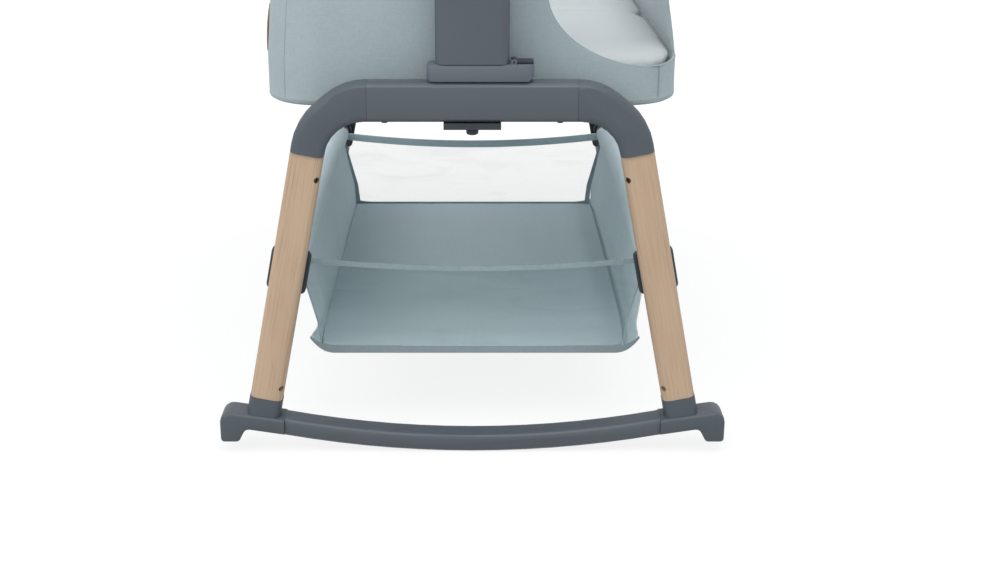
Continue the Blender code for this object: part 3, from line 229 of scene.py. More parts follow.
# %% Surface group
surface, given, result = new_group(
    "moulded_surface", {"Vector": None, "Tint": (0.1, 0.12, 0.14, 1),
                        "Haze": (0.2, 0.22, 0.24, 1), "Haze amount": 0.12,
                        "Grain scale": 900.0, "Gloss": 0.42})
place = given["Vector"]
pebble = node(surface, "ShaderNodeTexVoronoi", {"Vector": place, "Scale": given["Grain scale"]},
              feature="SMOOTH_F1").outputs["Distance"]
haze = remap(surface, noise_node(surface, place, 14.0, 5.0, Roughness=0.62), 0.42, 0.75)
fog = math_node(surface, "MULTIPLY", haze, given["Haze amount"])
gloss = math_node(surface, "MULTIPLY_ADD", haze, 0.1, given["Gloss"])
feed(surface, result, {"Color": two_tone(surface, fog, given["Tint"], given["Haze"]),
                       "Height": pebble, "Roughness": gloss})
print("group:", surface.name, "with", len(surface.nodes), "nodes")

# %% [markdown]
# ## Sheer net
# The windows and the basket's ends are a knitted net: threads round small holes. Modelling each
# thread would take millions of faces, so the holes are cut by the material's Alpha. A cell
# pattern gives the distance to the nearest cell wall, and the net is solid where that is small.
# Soft clouds make its film a little denser: a painted sheen, for the light that the net catches
# where it lies unevenly.

# %% Net group
net, given, result = new_group(
    "knitted_net", {"Vector": None, "Cell": 0.0016, "Thread share": 0.07, "Thread": 0.7,
                    "Film": 0.03, "Clouds": 0.1}, ("Alpha", "Threads"))
place, rate = given["Vector"], math_node(net, "DIVIDE", 1.0, given["Cell"])
cells = node(net, "ShaderNodeTexVoronoi", {"Vector": place, "Scale": rate, "Randomness": 0.35},
             feature="DISTANCE_TO_EDGE").outputs["Distance"]
inside = math_node(net, "LESS_THAN", cells, given["Thread share"])
# These drift clouds are painted sheen: they thicken the net's film where it would catch light.
drift = noise_node(net, vector_node(net, "MULTIPLY", place, (7, 26, 26)), Distortion=1.2)
film = math_node(net, "MULTIPLY_ADD", remap(net, drift, 0.48, 0.78), given["Clouds"],
                 given["Film"])
cover = math_node(net, "MULTIPLY", inside, given["Thread"])
cover = math_node(net, "MULTIPLY_ADD", math_node(net, "SUBTRACT", 1.0, inside), film, cover)
feed(net, result, {"Alpha": cover, "Threads": inside})
print("group:", net.name, "with", len(net.nodes), "nodes")

# %% [markdown]
# ## Finishes
# Each finish is a material with a Principled shader. Values that are the same all over are set
# on the shader itself, and only what changes over the surface comes through the groups. The
# Bump node turns a group's height into a normal, and its distance is the real depth in metres.


# %% Finish helpers
def new_material(name, **constants):
    """An empty material: its tree, its shader, with constant values set on the shader."""
    made = bpy.data.materials.new(name)
    made.use_nodes = True
    shader = made.node_tree.nodes["Principled BSDF"]
    for label, value in constants.items():
        shader.inputs[label.replace("_", " ")].default_value = value
    return made, made.node_tree, shader


def finish_from(tree, shader, group, inputs, depth):
    """Places a group, feeds its colour and roughness to the shader and its height to a bump."""
    placed = node(tree, "ShaderNodeGroup", inputs, node_tree=group).outputs
    bump = node(tree, "ShaderNodeBump", {"Strength": 0.6, "Distance": depth,
                                         "Height": placed["Height"]})
    feed(tree, shader, {"Base Color": placed["Color"], "Roughness": placed["Roughness"],
                        "Normal": bump.outputs[0]})


def coordinates(tree, kind="Object"):
    """The surface's own coordinates: Object for hard parts, UV for sewn cloth."""
    return node(tree, "ShaderNodeTexCoord").outputs[kind]


def cloth_finish(name, yarn, fleck, amount=0.3, thread=0.0009, depth=0.00006, kind="UV"):
    """Melange cloth with a soft sheen."""
    made, tree, shader = new_material(name, Sheen_Weight=0.15, Sheen_Roughness=0.5,
                                      Specular_IOR_Level=0.2)
    finish_from(tree, shader, melange,
                {"Vector": coordinates(tree, kind), "Yarn": rgba(yarn), "Fleck": rgba(fleck),
                 "Fleck amount": amount, "Thread": thread}, depth)
    return made


def hard_finish(name, tint, haze=(0.12, 0.134, 0.148), amount=0.10, scale=1100.0, gloss=0.44,
                depth=0.00005, **constants):
    """Moulded plastic or powder paint."""
    made, tree, shader = new_material(name, **constants)
    finish_from(tree, shader, surface,
                {"Vector": coordinates(tree), "Tint": rgba(tint), "Haze": rgba(haze),
                 "Haze amount": amount, "Grain scale": scale, "Gloss": gloss}, depth)
    return made


def oak_finish(name, lean):
    """Oak whose grain runs along a leg that leans by this angle."""
    made, tree, shader = new_material(name, Specular_IOR_Level=0.35)
    turned = node(tree, "ShaderNodeMapping",
                  {"Vector": coordinates(tree), "Rotation": (0, lean, 0),
                   "Location": (0.4 * lean, 0, 0)})
    finish_from(tree, shader, grain, {"Vector": turned.outputs[0]}, 0.00015)
    return made


def net_finish(name, thread_colour, film_colour, *amounts):
    """Knitted net. The amounts are the share of threads, their cover, the film and its painted
    sheen clouds.
    """
    made, tree, shader = new_material(name, Roughness=0.8, Specular_IOR_Level=0.2)
    inputs = dict(zip(("Thread share", "Thread", "Film", "Clouds"), amounts))
    inputs["Vector"] = coordinates(tree, "UV")
    placed = node(tree, "ShaderNodeGroup", inputs, node_tree=net).outputs
    tone = two_tone(tree, placed["Threads"], rgba(film_colour), rgba(thread_colour))
    feed(tree, shader, {"Base Color": tone, "Alpha": placed["Alpha"]})
    return made


print("finish helpers ready")

# %% [markdown]
# The colours below are the finishes under plain light: slate grey plastic and paint, nearly
# black plastic for small parts, oak, and the cloths. The teal of the bassinet is lighter than
# the tapes that bind its edges. The collar's plastic, the basket's cloth and the far tape are
# made lighter than their real finish as painted light, the basket's cloth in part. The basket's
# near net has a denser film and more painted sheen, so it veils more.

# %% Finishes
slate_plastic = hard_finish("slate_plastic", (0.066, 0.080, 0.094), Specular_IOR_Level=0.28)
slate_paint = hard_finish("slate_paint", (0.070, 0.083, 0.097), scale=700.0, gloss=0.38,
                          depth=0.00004, Specular_IOR_Level=0.32)
# The collar's plastic is the slate plastic made lighter: painted light, for the light from above
# that falls on the collar.
lit_collar_plastic = hard_finish("lit_collar_plastic", (0.094, 0.113, 0.132), (0.14, 0.156, 0.17),
                             Specular_IOR_Level=0.28)
black_plastic = hard_finish("black_plastic", (0.027, 0.033, 0.040), (0.07, 0.078, 0.086), 0.12,
                            1300.0, 0.45, 0.00004, Specular_IOR_Level=0.3)
dark_steel = hard_finish("dark_steel", (0.07, 0.06, 0.055), (0.16, 0.14, 0.12), 0.15, 1500.0,
                         0.30, 0.00002, Metallic=1.0)
board_finish = hard_finish("grey_board", (0.40, 0.38, 0.35), (0.5, 0.48, 0.45), 0.3, 500.0,
                           0.6, 0.00008)
leather_finish = hard_finish("brown_leather", (0.23, 0.125, 0.065), (0.33, 0.2, 0.12), 0.35,
                             420.0, 0.5, 0.0002)
oak = {name: oak_finish(f"oak_{name}", side * math.radians(11.2)) for name, side in sides.items()}
teal_cloth = cloth_finish("teal_cloth", (0.315, 0.375, 0.394), (0.235, 0.292, 0.312), 0.34)
# The basket's cloth is much lighter than the bassinet's teal: partly painted light, which brightens
# the basket's inside in the crib's shade.
lit_basket_cloth = cloth_finish("lit_basket_cloth", (0.54, 0.65, 0.685), (0.43, 0.53, 0.56))
hem_cloth = cloth_finish("hem_cloth", (0.235, 0.30, 0.325), (0.16, 0.21, 0.23))
teal_tape = cloth_finish("teal_tape", (0.27, 0.345, 0.37), (0.17, 0.23, 0.255), 0.4, 0.0008)
mattress_cloth = cloth_finish("mattress_cloth", (0.50, 0.53, 0.54), (0.43, 0.46, 0.47), 0.4,
                              depth=0.00008, kind="Object")
window_net = net_finish("window_net", (0.17, 0.22, 0.24), (0.42, 0.47, 0.49),
                        0.045, 0.36, 0.09, 0.03)
basket_net = net_finish("basket_net", (0.09, 0.15, 0.17), (0.13, 0.21, 0.23),
                        0.05, 0.36, 0.11, 0.10)
dense_near_net = net_finish("dense_near_net", (0.09, 0.15, 0.17), (0.14, 0.225, 0.245),
                        0.05, 0.40, 0.17, 0.16)
# The far tape is the tape made much lighter: painted light for its inner face, which turns away
# from the lamps.
lit_far_tape = cloth_finish("lit_far_tape", (0.40, 0.485, 0.515), (0.30, 0.375, 0.40))
lining_cloth = cloth_finish("lining_cloth", (0.48, 0.54, 0.56), (0.38, 0.44, 0.46))
print("finishes:", len(bpy.data.materials))

# %% [markdown]
# ## Dressing the hard parts
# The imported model's faces arrive with hard edges between all of them, so round parts would look
# faceted. Their points aren't moved here. Welding joins the doubled points in a modifier, and
# splitting edges only where the surface turns by more than 30 degrees keeps real edges crisp.


# %% Hard parts
def dress(name, finish):
    """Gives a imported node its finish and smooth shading, and leaves its points alone."""
    part = nodes[name]
    part.data.materials.clear()
    part.data.materials.append(finish)
    custom = part.data.attributes.get("custom_normal")
    if custom:
        part.data.attributes.remove(custom)
    part.data.shade_smooth()
    part.modifiers.new("weld", "WELD").merge_threshold = 0.00001
    part.modifiers.new("edges", "EDGE_SPLIT").split_angle = math.radians(30)


for end in ends:
    for kind in ("beam", "rocker_rail", "outer_column", "inner_column"):
        dress(f"{kind}_{end}", slate_paint)
    dress(f"collar_{end}", lit_collar_plastic)
    for kind in ("under_plate", "brake_pin", "release_lever", "height_button"):
        dress(f"{kind}_{end}", black_plastic)
    for side in sides:
        for kind in ("corner_casting", "foot"):
            dress(f"{kind}_{end}_{side}", slate_plastic)
        for kind in ("tube_bracket", "slide_stop"):
            dress(f"{kind}_{end}_{side}", black_plastic)
        dress(f"leg_screw_{end}_{side}", dark_steel)
        dress(f"leg_{end}_{side}", oak[side])
for side in sides:
    dress(f"side_tube_{side}", slate_paint)
dress("rim_tube", slate_paint)
dress("base_board", board_finish)
print("dressed", sum(1 for part in nodes.values() if part.modifiers), "hard parts")

# %% [markdown]
# ## Sizes of the soft parts
# Cloth has to sit exactly where the hard model says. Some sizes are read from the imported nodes'
# boxes, and the others repeat the bassinet's plan: a rectangle with round corners, whose walls
# lean in as they go up, and whose rim dips towards the open side.

# %% Bassinet sizes
half_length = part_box("bassinet_end_far")[1].y
half_width = -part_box("bassinet_closed_side")[0].x
bassinet_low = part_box("bassinet_tray")[0].z
rim_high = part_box("rim_tube")[1].z - 0.008
rim_low = rim_high - 0.152
rim_gap = 0.0083
corner_radius = 0.075
seam_degrees = 50.0
band_top = bassinet_low + 0.0554
arc_low = bassinet_low + 0.050
arc_rise = 0.092
arc_high = arc_low + arc_rise
arc_middle = 0.240
arc_reach = 0.137
arc_start = arc_middle - arc_reach
window_start = 0.090
wall_lean = math.radians(4.9)
wall_cloth = 0.004
piping_inset = 0.0018
tuck = 0.0015
drawn_at_band, drawn_above = 0.0014, 0.0086
hem_radius = 0.010
flat_run = half_width - corner_radius
corner_y = half_length - corner_radius
print("bassinet", round(2 * half_width, 3), "x", round(2 * half_length, 3),
      "from", round(bassinet_low, 4), "to", round(rim_high, 4))


# %% Bassinet plan
def ease(share):
    """Goes from 0 to 1 with a soft start and a soft end."""
    share = min(max(share, 0.0), 1.0)
    return share * share * (3 - 2 * share)


def width_at(z, side):
    """Half the bassinet's width at a height. The open side is drawn in a little more."""
    above = max(0.0, z - band_top)
    drawn = drawn_at_band + drawn_above * ease(above / (rim_low - band_top)) if side > 0 else 0.0
    return half_width - above * math.tan(wall_lean) - drawn


def plan_point(station, z, inset):
    """A point of the plan. A station is (kind, side, value, end)."""
    kind, side, value, end = station
    width = width_at(z, side)
    run = width - corner_radius
    if kind == "end":
        return Vector((side * value * run, end * (half_length - inset), z))
    if kind == "side":
        return Vector((side * (width - inset), value * corner_y, z))
    radius = corner_radius - inset
    angle = math.radians(value)
    return Vector((side * (run + radius * math.cos(angle)),
                   end * (corner_y + radius * math.sin(angle)), z))


def station_x(station):
    """The sideways place of a station on an end, before the walls lean."""
    kind, side, value, end = station
    if kind == "end":
        return side * value * flat_run
    return side * (flat_run + corner_radius * math.cos(math.radians(value)))


def rim_run(station):
    """How far along the rim a station lies past the start of its dip."""
    kind, side, value, end = station
    if kind == "end":
        return side * value * flat_run - window_start
    if kind == "side":
        return flat_run - window_start + corner_radius * math.pi / 2
    return flat_run - window_start + corner_radius * math.radians(90 - value)


def rim_at_run(run):
    """Height of the rim's middle at a run past the start of its dip."""
    whole = flat_run - window_start + corner_radius * math.pi / 2
    return rim_high - (rim_high - rim_low) * ease(run / whole)


def rim_height(station):
    """Height of the rim's middle: high at the closed side, low at the open one."""
    return rim_high if station[1] < 0 else rim_at_run(rim_run(station))


def under_rim(station):
    """Height just under the rim tube on the open half, further down where the rim slopes."""
    height, run, step = rim_height(station), rim_run(station), 0.024
    slope = max(abs(rim_at_run(run + way) - height) for way in (-step, step)) / step
    shrink = (width_at(height, 1) - corner_radius) / flat_run
    return height - rim_gap * math.hypot(1, slope / shrink)


def window_edge(x):
    """Height of the curved edge between the end's cloth and its window."""
    if x <= window_start:
        return rim_high - rim_gap
    if x < arc_start:
        share = (x - window_start) / (arc_start - window_start)
        return (rim_high - rim_gap) * (1 - share) + arc_high * share
    across = min(max((arc_middle - x) / arc_reach, 0.0), 1.0)
    return arc_high - arc_rise * math.sqrt(max(0.0, 1 - across * across))


def cloth_edge(station):
    """Height of the cloth's edge: the window's arc, then a slope round the corner to the band."""
    kind, side, value, end = station
    if kind == "side":
        return band_top
    if kind == "end" or value > seam_degrees:
        return window_edge(station_x(station))
    at_seam = window_edge(flat_run + corner_radius * math.cos(math.radians(seam_degrees)))
    return at_seam + (band_top - at_seam) * (1 - value / seam_degrees)


print("rim from", round(rim_low, 3), "to", round(rim_high, 3))

# %% [markdown]
# ## Sewing a sheet
# A sheet of cloth is a grid of points: columns of points that go up, side by side. Making it
# from a grid gives full control of where each edge runs, which a simulated sheet wouldn't, and
# the grid also gives the cloth's own coordinates in metres. Solidify then adds the thickness.


# %% Sheet helpers
def lengths_along(points):
    """Running distance along a row of points, starting at 0."""
    found = [0.0]
    for a, b in zip(points, points[1:]):
        found.append(found[-1] + (b - a).length)
    return found


def grid(across, up, rule):
    """Columns of points from a rule of two shares, across and up, that go from 0 to 1."""
    return [[rule(i / across, j / up) for j in range(up + 1)] for i in range(across + 1)]


def sheet_mesh(name, columns, finish, thickness=0.0, offset=-1.0, flip=False):
    """A sheet from columns of points, with cloth coordinates in metres. Flip turns it over."""
    columns = columns[::-1] if flip else columns
    tall = len(columns[0])
    across = lengths_along([column[tall // 2] for column in columns])
    ups = [lengths_along(column) for column in columns]
    faces, places = [], []
    for c in range(len(columns) - 1):
        for r in range(tall - 1):
            corners = [(c, r), (c + 1, r), (c + 1, r + 1), (c, r + 1)]
            faces.append([i * tall + j for i, j in corners])
            places.extend(corners)
    mesh = bpy.data.meshes.new(name)
    mesh.from_pydata([p for column in columns for p in column], [], faces)
    layer = mesh.uv_layers.new(name="cloth")
    for loop, (i, j) in enumerate(places):
        layer.data[loop].uv = (across[i], ups[i][j])
    mesh.shade_smooth()
    mesh.materials.append(finish)
    piece = add_object(name, mesh)
    if thickness:
        solid = piece.modifiers.new("thickness", "SOLIDIFY")
        solid.thickness, solid.offset = thickness, offset
        piece.modifiers.new("edges", "EDGE_SPLIT").split_angle = math.radians(50)
    return piece


def tube_along(name, points, radius, finish, closed=False):
    """A piping or cord: a round bevel on a smooth line through the points."""
    curve = bpy.data.curves.new(name, "CURVE")
    curve.dimensions = "3D"
    curve.bevel_depth = radius
    curve.bevel_resolution = 3
    curve.use_fill_caps = not closed
    line = curve.splines.new("POLY")
    line.points.add(len(points) - 1)
    for point, place in zip(line.points, points):
        point.co = (*place, 1.0)
    line.use_cyclic_u = closed
    line.use_smooth = True
    curve.materials.append(finish)
    return add_object(name, curve)


def sew_on(piece, body, *replaced, slot="teal_fabric"):
    """Makes a piece move with a body and hides the nodes it stands for. The slot is not used."""
    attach(piece, body)
    if replaced:
        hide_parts(*replaced)
    return piece


def ripple(point, size, stretch, amount, seed=0.0):
    """A soft unevenness of hand-sewn cloth, longer upwards than across by stretch."""
    place = Vector((point.x / size + seed, point.y / size, point.z / size / stretch))
    return amount * noise.noise(place)


print("sheet helpers ready")

# %% [markdown]
# ## The bassinet's walls
# The walls are padded cloth panels, sewn together by a seam at each corner and drawn under the
# base at the hem. Each panel is a grid that follows the plan. Near a seam the cloth is pulled
# in a little, and between the seams it bulges unevenly by about a millimetre.


# %% Wall panels
def fan(side, start, finish, end, steps):
    """Stations round a corner, in degrees from the side to the end."""
    return [("corner", side, start + (finish - start) * i / steps, end)
            for i in range(steps + 1)]


def along_side(side, steps):
    """Stations along a straight side, between its corners."""
    return [("side", side, 2 * i / steps - 1, 1) for i in range(1, steps)]


def round_side(side, degrees, turn_steps, steps):
    """Stations of a side with its share of both corners, from the near end to the far one."""
    return (fan(side, degrees, 0, -1, turn_steps) + along_side(side, steps)
            + fan(side, 0, degrees, 1, turn_steps))


def seam_pull(station):
    """How far the cloth is pulled in next to a corner seam."""
    if station[0] != "corner":
        return 0.0
    away = corner_radius * math.radians(station[2] - seam_degrees)
    return (0.0004 if station[1] < 0 else 0.0014) * math.exp(-(away / 0.005) ** 2)


def wall_column(station, low, high, rows, hem=True, amount=0.0012):
    """A column of points from low to high, with the hem's curve under it."""
    column = []
    if hem:
        for degrees in (90, 72, 54, 36, 18):
            angle = math.radians(degrees)
            z = low + hem_radius * (1 - math.sin(angle))
            column.append(plan_point(station, z, hem_radius * (1 - math.cos(angle))))
        low = low + hem_radius
    for i in range(rows + 1):
        z = low + (high - low) * i / rows
        spot = plan_point(station, z, 0.0)
        fade = math.sin(math.pi * min(1.0, 0.08 + 0.92 * i / rows)) ** 0.5
        inset = seam_pull(station) + 0.0008 - ripple(spot, 0.055, 2.6, amount) * fade
        column.append(plan_point(station, z, inset))
    return column


def sweep_stations(end):
    """Stations across the curved window edge, close together where it is steep."""
    found = [window_start + (arc_start - window_start) * i / 4 for i in range(4)]
    found += [arc_middle - arc_reach * math.cos(math.radians(t)) for t in range(0, 90, 5)]
    stations = [("end", 1, x / flat_run, end) for x in found if x <= flat_run]
    angles = [math.degrees(math.acos((x - flat_run) / corner_radius))
              for x in found if x > flat_run]
    return stations + [("corner", 1, angle, end) for angle in angles
                       if angle > seam_degrees + 0.5]


for label, end in ends.items():
    stations = fan(-1, seam_degrees, 90, end, 7)
    for i in range(1, 40):
        x = -flat_run + (window_start + flat_run) * i / 40
        stations.append(("end", 1 if x > 0 else -1, abs(x) / flat_run, end))
    stations += sweep_stations(end) + [("corner", 1, seam_degrees, end)]
    columns = [wall_column(s, bassinet_low, window_edge(station_x(s)), 38) for s in stations]
    panel = sheet_mesh(f"end_panel_{label}", columns, teal_cloth, wall_cloth, flip=end > 0)
    sew_on(panel, "bassinet", f"bassinet_end_{label}")
    print(panel.name, "has", len(panel.data.polygons), "faces")


# %% Closed and open sides
def side_panel(name, side, rows, top):
    """A long side with its share of both corners, up to the height that top gives."""
    columns = [wall_column(s, bassinet_low, top(s), rows)
               for s in round_side(side, seam_degrees, 9, 70)]
    return sheet_mesh(name, columns, teal_cloth, wall_cloth, flip=side < 0)


closed_side = side_panel("closed_side", -1, 38, lambda s: rim_high - rim_gap)
sew_on(closed_side, "bassinet", "bassinet_closed_side")
open_band = side_panel("open_side_band", 1, 8, cloth_edge)
sew_on(open_band, "bassinet", "bassinet_open_side")
flap_columns = [wall_column(s, band_top + 0.0004, under_rim(s), 14, False, 0.0022)
                for s in [("side", 1, 2 * i / 70 - 1, 1) for i in range(71)]]
flap = sheet_mesh("open_side_flap", flap_columns, teal_cloth, 0.0025)
flap.data.materials.append(lining_cloth)
flap.modifiers["thickness"].material_offset = 1
sew_on(flap, "bassinet", "bassinet_open_side")
print("side panels made:", closed_side.name, open_band.name, flap.name)

# %% [markdown]
# ## Lining of the open side
# Through the window the inner face of the low band shows, in a paler cloth. It is one layer that
# follows the same plan a few millimetres further in, and leans inwards towards the mattress.

# %% Lining
lining_low = bassinet_low + 0.026
lining_columns = []
for s in round_side(1, seam_degrees, 9, 70):
    rise = cloth_edge(s) - tuck - lining_low
    lining_columns.append([plan_point(s, lining_low + rise * i / 6, 0.0094 - 0.004 * i / 6)
                           for i in range(7)])
lining = sheet_mesh("open_side_lining", lining_columns, lining_cloth)
sew_on(lining, "bassinet")
print("lining made:", lining.name)

# %% [markdown]
# ## Windows, piping and seams
# A window of net fills the space between the curved edge and the rim, so air and sight pass.
# It is one thin layer that follows the same plan a millimetre further in. The edges of the
# cloth are closed with piping, a cord wrapped in darker tape, which is a round line here.

# %% Windows
for label, end in ends.items():
    columns = []
    for s in sweep_stations(end) + fan(1, seam_degrees, 0, end, 9):
        low = cloth_edge(s) - tuck
        high = max(low + 0.0005, under_rim(s) + 0.002)
        column = []
        for i in range(17):
            z = low + (high - low) * i / 16
            bulge = 0.0015 + ripple(plan_point(s, z, 0.0), 0.05, 2, 0.0015)
            column.append(plan_point(s, z, piping_inset + math.sin(math.pi * i / 16) * bulge))
        columns.append(column)
    window = sheet_mesh(f"window_{label}", columns, window_net, flip=end > 0)
    sew_on(window, "bassinet", f"mesh_window_{label}", slot="sheer_mesh")
    print("window made:", window.name)


# %% Piping
def whole_plan(z, inset):
    """A closed ring of points round the bassinet's plan."""
    near = [("end", -1, 1 - i / 20, -1) for i in range(20)]
    near += [("end", 1, i / 20, -1) for i in range(21)]
    far = [(kind, side, value, 1) for kind, side, value, _ in near[-2::-1]]
    ring = near + round_side(1, 90, 12, 60)[1:] + far + round_side(-1, 90, 12, 60)[-2:0:-1]
    return [plan_point(s, z, inset) for s in ring]


near_edge, far_edge = [sweep_stations(end)[1:] + fan(1, seam_degrees, 0, end, 9)
                       for end in ends.values()]
edge_points = [plan_point(s, cloth_edge(s), piping_inset)
               for s in near_edge + along_side(1, 30) + far_edge[::-1]]
sew_on(tube_along("edge_piping", edge_points, 0.0010, hem_cloth), "bassinet")
hem_piping = tube_along("hem_piping", whole_plan(bassinet_low + 0.0045, 0.0028), 0.0014,
                        teal_cloth, closed=True)
sew_on(hem_piping, "bassinet")
for label, end in ends.items():
    for name, side in sides.items():
        station = ("corner", side, seam_degrees, end)
        low = bassinet_low + 0.008
        top = rim_high - 0.010 if side < 0 else cloth_edge(station) - 0.0005
        inset, finish = (0.0012, teal_cloth) if side < 0 else (0.0016, teal_tape)
        line = [plan_point(station, low + (top - low) * i / 24, inset) for i in range(25)]
        seam = tube_along(f"corner_seam_{label}_{name}", line, 0.0006, finish)
        sew_on(seam, "bassinet")
print("piping and corner seams sewn on")

# %% [markdown]
# ## Rim sleeves
# The steel rim is hidden in a cloth sleeve, which is interrupted only where the columns' heads
# hold the tube. A sleeve is a ring of points carried along the rim. Tiny unevenness along it
# stops it from looking like a pipe.


# %% Rim sleeves
def carry_ring(path, radius, around, wave):
    """Columns of points round a path, each a ring square to it."""
    columns = []
    for i, centre in enumerate(path):
        before, after = path[max(0, i - 1)], path[min(len(path) - 1, i + 1)]
        along = (after - before).normalized()
        sideways = along.cross(Vector((0, 0, 1))).normalized()
        upward = sideways.cross(along)
        ring = []
        for j in range(around + 1):
            angle = 2 * math.pi * j / around
            out = sideways * math.cos(angle) + upward * math.sin(angle)
            bump = ripple(centre + out * 0.01, 0.012, 1, wave)
            ring.append(centre + out * (radius + bump))
        columns.append(ring)
    return columns


head_reach = 0.0535 / flat_run


def rim_points(side):
    """The rim's middle line from the near head round one side to the far head."""
    first = [("end", side, head_reach + (1 - head_reach) * i / 16, -1) for i in range(16)]
    last = [("end", side, value, 1) for _, _, value, _ in reversed(first)]
    return [plan_point(s, rim_height(s), 0.002)
            for s in first + round_side(side, 90, 14, 70) + last]


for name, side in sides.items():
    path = rim_points(side)
    sleeve = sheet_mesh(f"rim_sleeve_{name}", carry_ring(path, 0.0092, 18, 0.0004), teal_cloth)
    sew_on(sleeve, "bassinet")

# %% [markdown]
# ## The bassinet's base
# Under the mattress a cloth-wrapped board closes the bassinet. It is a flat bag with a rounded
# edge, so it is lofted as rings of the plan that step inwards, and its underside hangs a
# millimetre or two in the middle. Each ring is a share of the plan's size at a height.

# %% Base wrap
base_plan = whole_plan(bassinet_low, hem_radius + 0.0003)
base_plan.append(base_plan[0])
base_steps = [(0.002, -0.0016)]
base_steps += [(i / 12, -0.0016 * (1 - (i / 12) ** 2)) for i in range(1, 12)]
base_steps += [(0.985, 0.0001), (0.996, 0.001), (1.0, 0.003), (1.0, 0.0075), (0.992, 0.0097),
               (0.002, 0.0098)]
base_columns = [[Vector((p.x * share, p.y * share, bassinet_low + up)) for share, up in base_steps]
                for p in base_plan]
base_wrap = sheet_mesh("base_wrap", base_columns, teal_cloth)
sew_on(base_wrap, "bassinet", "bassinet_tray")
print("base wrap made")

# %% [markdown]
# ## The mattress
# A baby's mattress is a flat foam pad in a jersey cover, with a crown of a few millimetres and
# soft edges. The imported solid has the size, and a cloth simulation gives it the give of fabric:
# the copy is remeshed evenly, blown up a little from a slightly smaller shape, and every point
# may move only a few millimetres. The pad folds in two, so a valley is pressed in across its
# middle, and each half has rounder corners there.

# %% Mattress
bpy.context.view_layer.update()


def modified(piece):
    """A piece's mesh with its modifiers at work."""
    return piece.evaluated_get(bpy.context.evaluated_depsgraph_get())


def puff(piece, voxel, pressure, cap, frames=20):
    """Remeshes a pad, blows it up with cloth physics, and caps how far each point moves."""
    remesh = piece.modifiers.new("even", "REMESH")
    remesh.mode = "VOXEL"
    remesh.voxel_size = voxel
    made = bpy.data.meshes.new_from_object(modified(piece))
    piece.modifiers.clear()
    piece.data = made
    start = [v.co.copy() for v in piece.data.vertices]
    cloth = piece.modifiers.new("cloth", "CLOTH")
    for key, value in {"quality": 6, "mass": 0.3, "tension_stiffness": 40,
                       "bending_stiffness": 6, "use_pressure": True,
                       "uniform_pressure_force": pressure}.items():
        setattr(cloth.settings, key, value)
    cloth.settings.effector_weights.gravity = 0
    cloth.point_cache.frame_start = 1
    cloth.point_cache.frame_end = frames
    scene = bpy.context.scene
    for step in range(1, frames + 1):
        scene.frame_set(step)
    moved = [v.co.copy() for v in modified(piece).data.vertices]
    piece.modifiers.clear()
    scene.frame_set(1)
    furthest = 0.0
    for vertex, a, b in zip(piece.data.vertices, start, moved):
        step = b - a
        if step.length > cap:
            step = step.normalized() * cap
        furthest = max(furthest, step.length)
        vertex.co = a + step
    return furthest


mattress_low, mattress_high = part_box("mattress")
mattress = add_object("mattress_pad", nodes["mattress"].data.copy())
middle = (mattress_low + mattress_high) / 2
size = mattress_high - mattress_low
for vertex in mattress.data.vertices:
    offset = vertex.co - middle
    vertex.co = middle + Vector([o * (1 - 0.006 / s) for o, s in zip(offset, size)])
furthest = puff(mattress, 0.007, 4.0, 0.005)
widest = size.x / 2 - 0.0015
for vertex in mattress.data.vertices:
    place = vertex.co
    up = min(1.0, max(0.0, (place.z - middle.z) / (0.4 * size.z)))
    place.x = min(widest, max(-widest, place.x * (1 + 0.06 * up)))
    place.x *= 1 - 0.045 * math.exp(-(place.y / 0.026) ** 2)
    if place.z > middle.z:
        place.z += 0.006 * up + 0.0012 * noise.noise(place * 14)
        place.z -= 0.0015 * math.exp(-(place.y / 0.006) ** 2)
    place.z = max(place.z, mattress_low.z)
mattress.data.materials.clear()
mattress.data.materials.append(mattress_cloth)
mattress.data.shade_smooth()
mattress.modifiers.new("finer", "SUBSURF").render_levels = 1
sew_on(mattress, "bassinet", "mattress", slot="mattress_cover")
print("mattress points:", len(mattress.data.vertices), "moved at most", round(furthest, 4), "m")

# %% [markdown]
# ## The leather tab
# A brown leather loop on the closed side helps to pull the crib. It is a short folded strap,
# sewn through near its edge. Here it is a thin rounded slab that bulges a little in the middle.

# %% Leather tab
tab_low, tab_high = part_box("leather_tab")
tab_middle = (tab_low + tab_high) / 2
tab_half_width, tab_half_height = 0.020, 0.032


def tab_point(i, j):
    """A point of the tab, which bulges a little and narrows at its ends."""
    across, up = 2 * i - 1, 2 * j - 1
    reach = tab_half_width - 0.004 * max(0.0, abs(up) - 0.8) / 0.2
    z = tab_middle.z + up * tab_half_height * math.cos(wall_lean)
    bulge = 0.0016 + 0.0016 * math.cos(up * math.pi / 2) - 0.0006 * across * across
    return Vector((-width_at(z, -1) - bulge, tab_middle.y - across * reach, z))


tab = sheet_mesh("pull_tab", grid(20, 32, tab_point), leather_finish, 0.0024, offset=0.0)
bevel = tab.modifiers.new("rounding", "BEVEL")
bevel.width = 0.0007
bevel.segments = 2
tab.modifiers.move(2, 1)
sew_on(tab, "bassinet", "leather_tab", slot="leather")
print("leather tab made")

# %% [markdown]
# ## The storage basket
# The basket hangs between two steel tubes. Its sides are cloth that wraps each tube in a sleeve,
# its floor is a stiff cloth-covered board, and its ends are net with a tape along the top that
# sags between the tubes. Cloth that is only held at its edges shows long soft folds, so the
# sides bend by a few millimetres along their length.

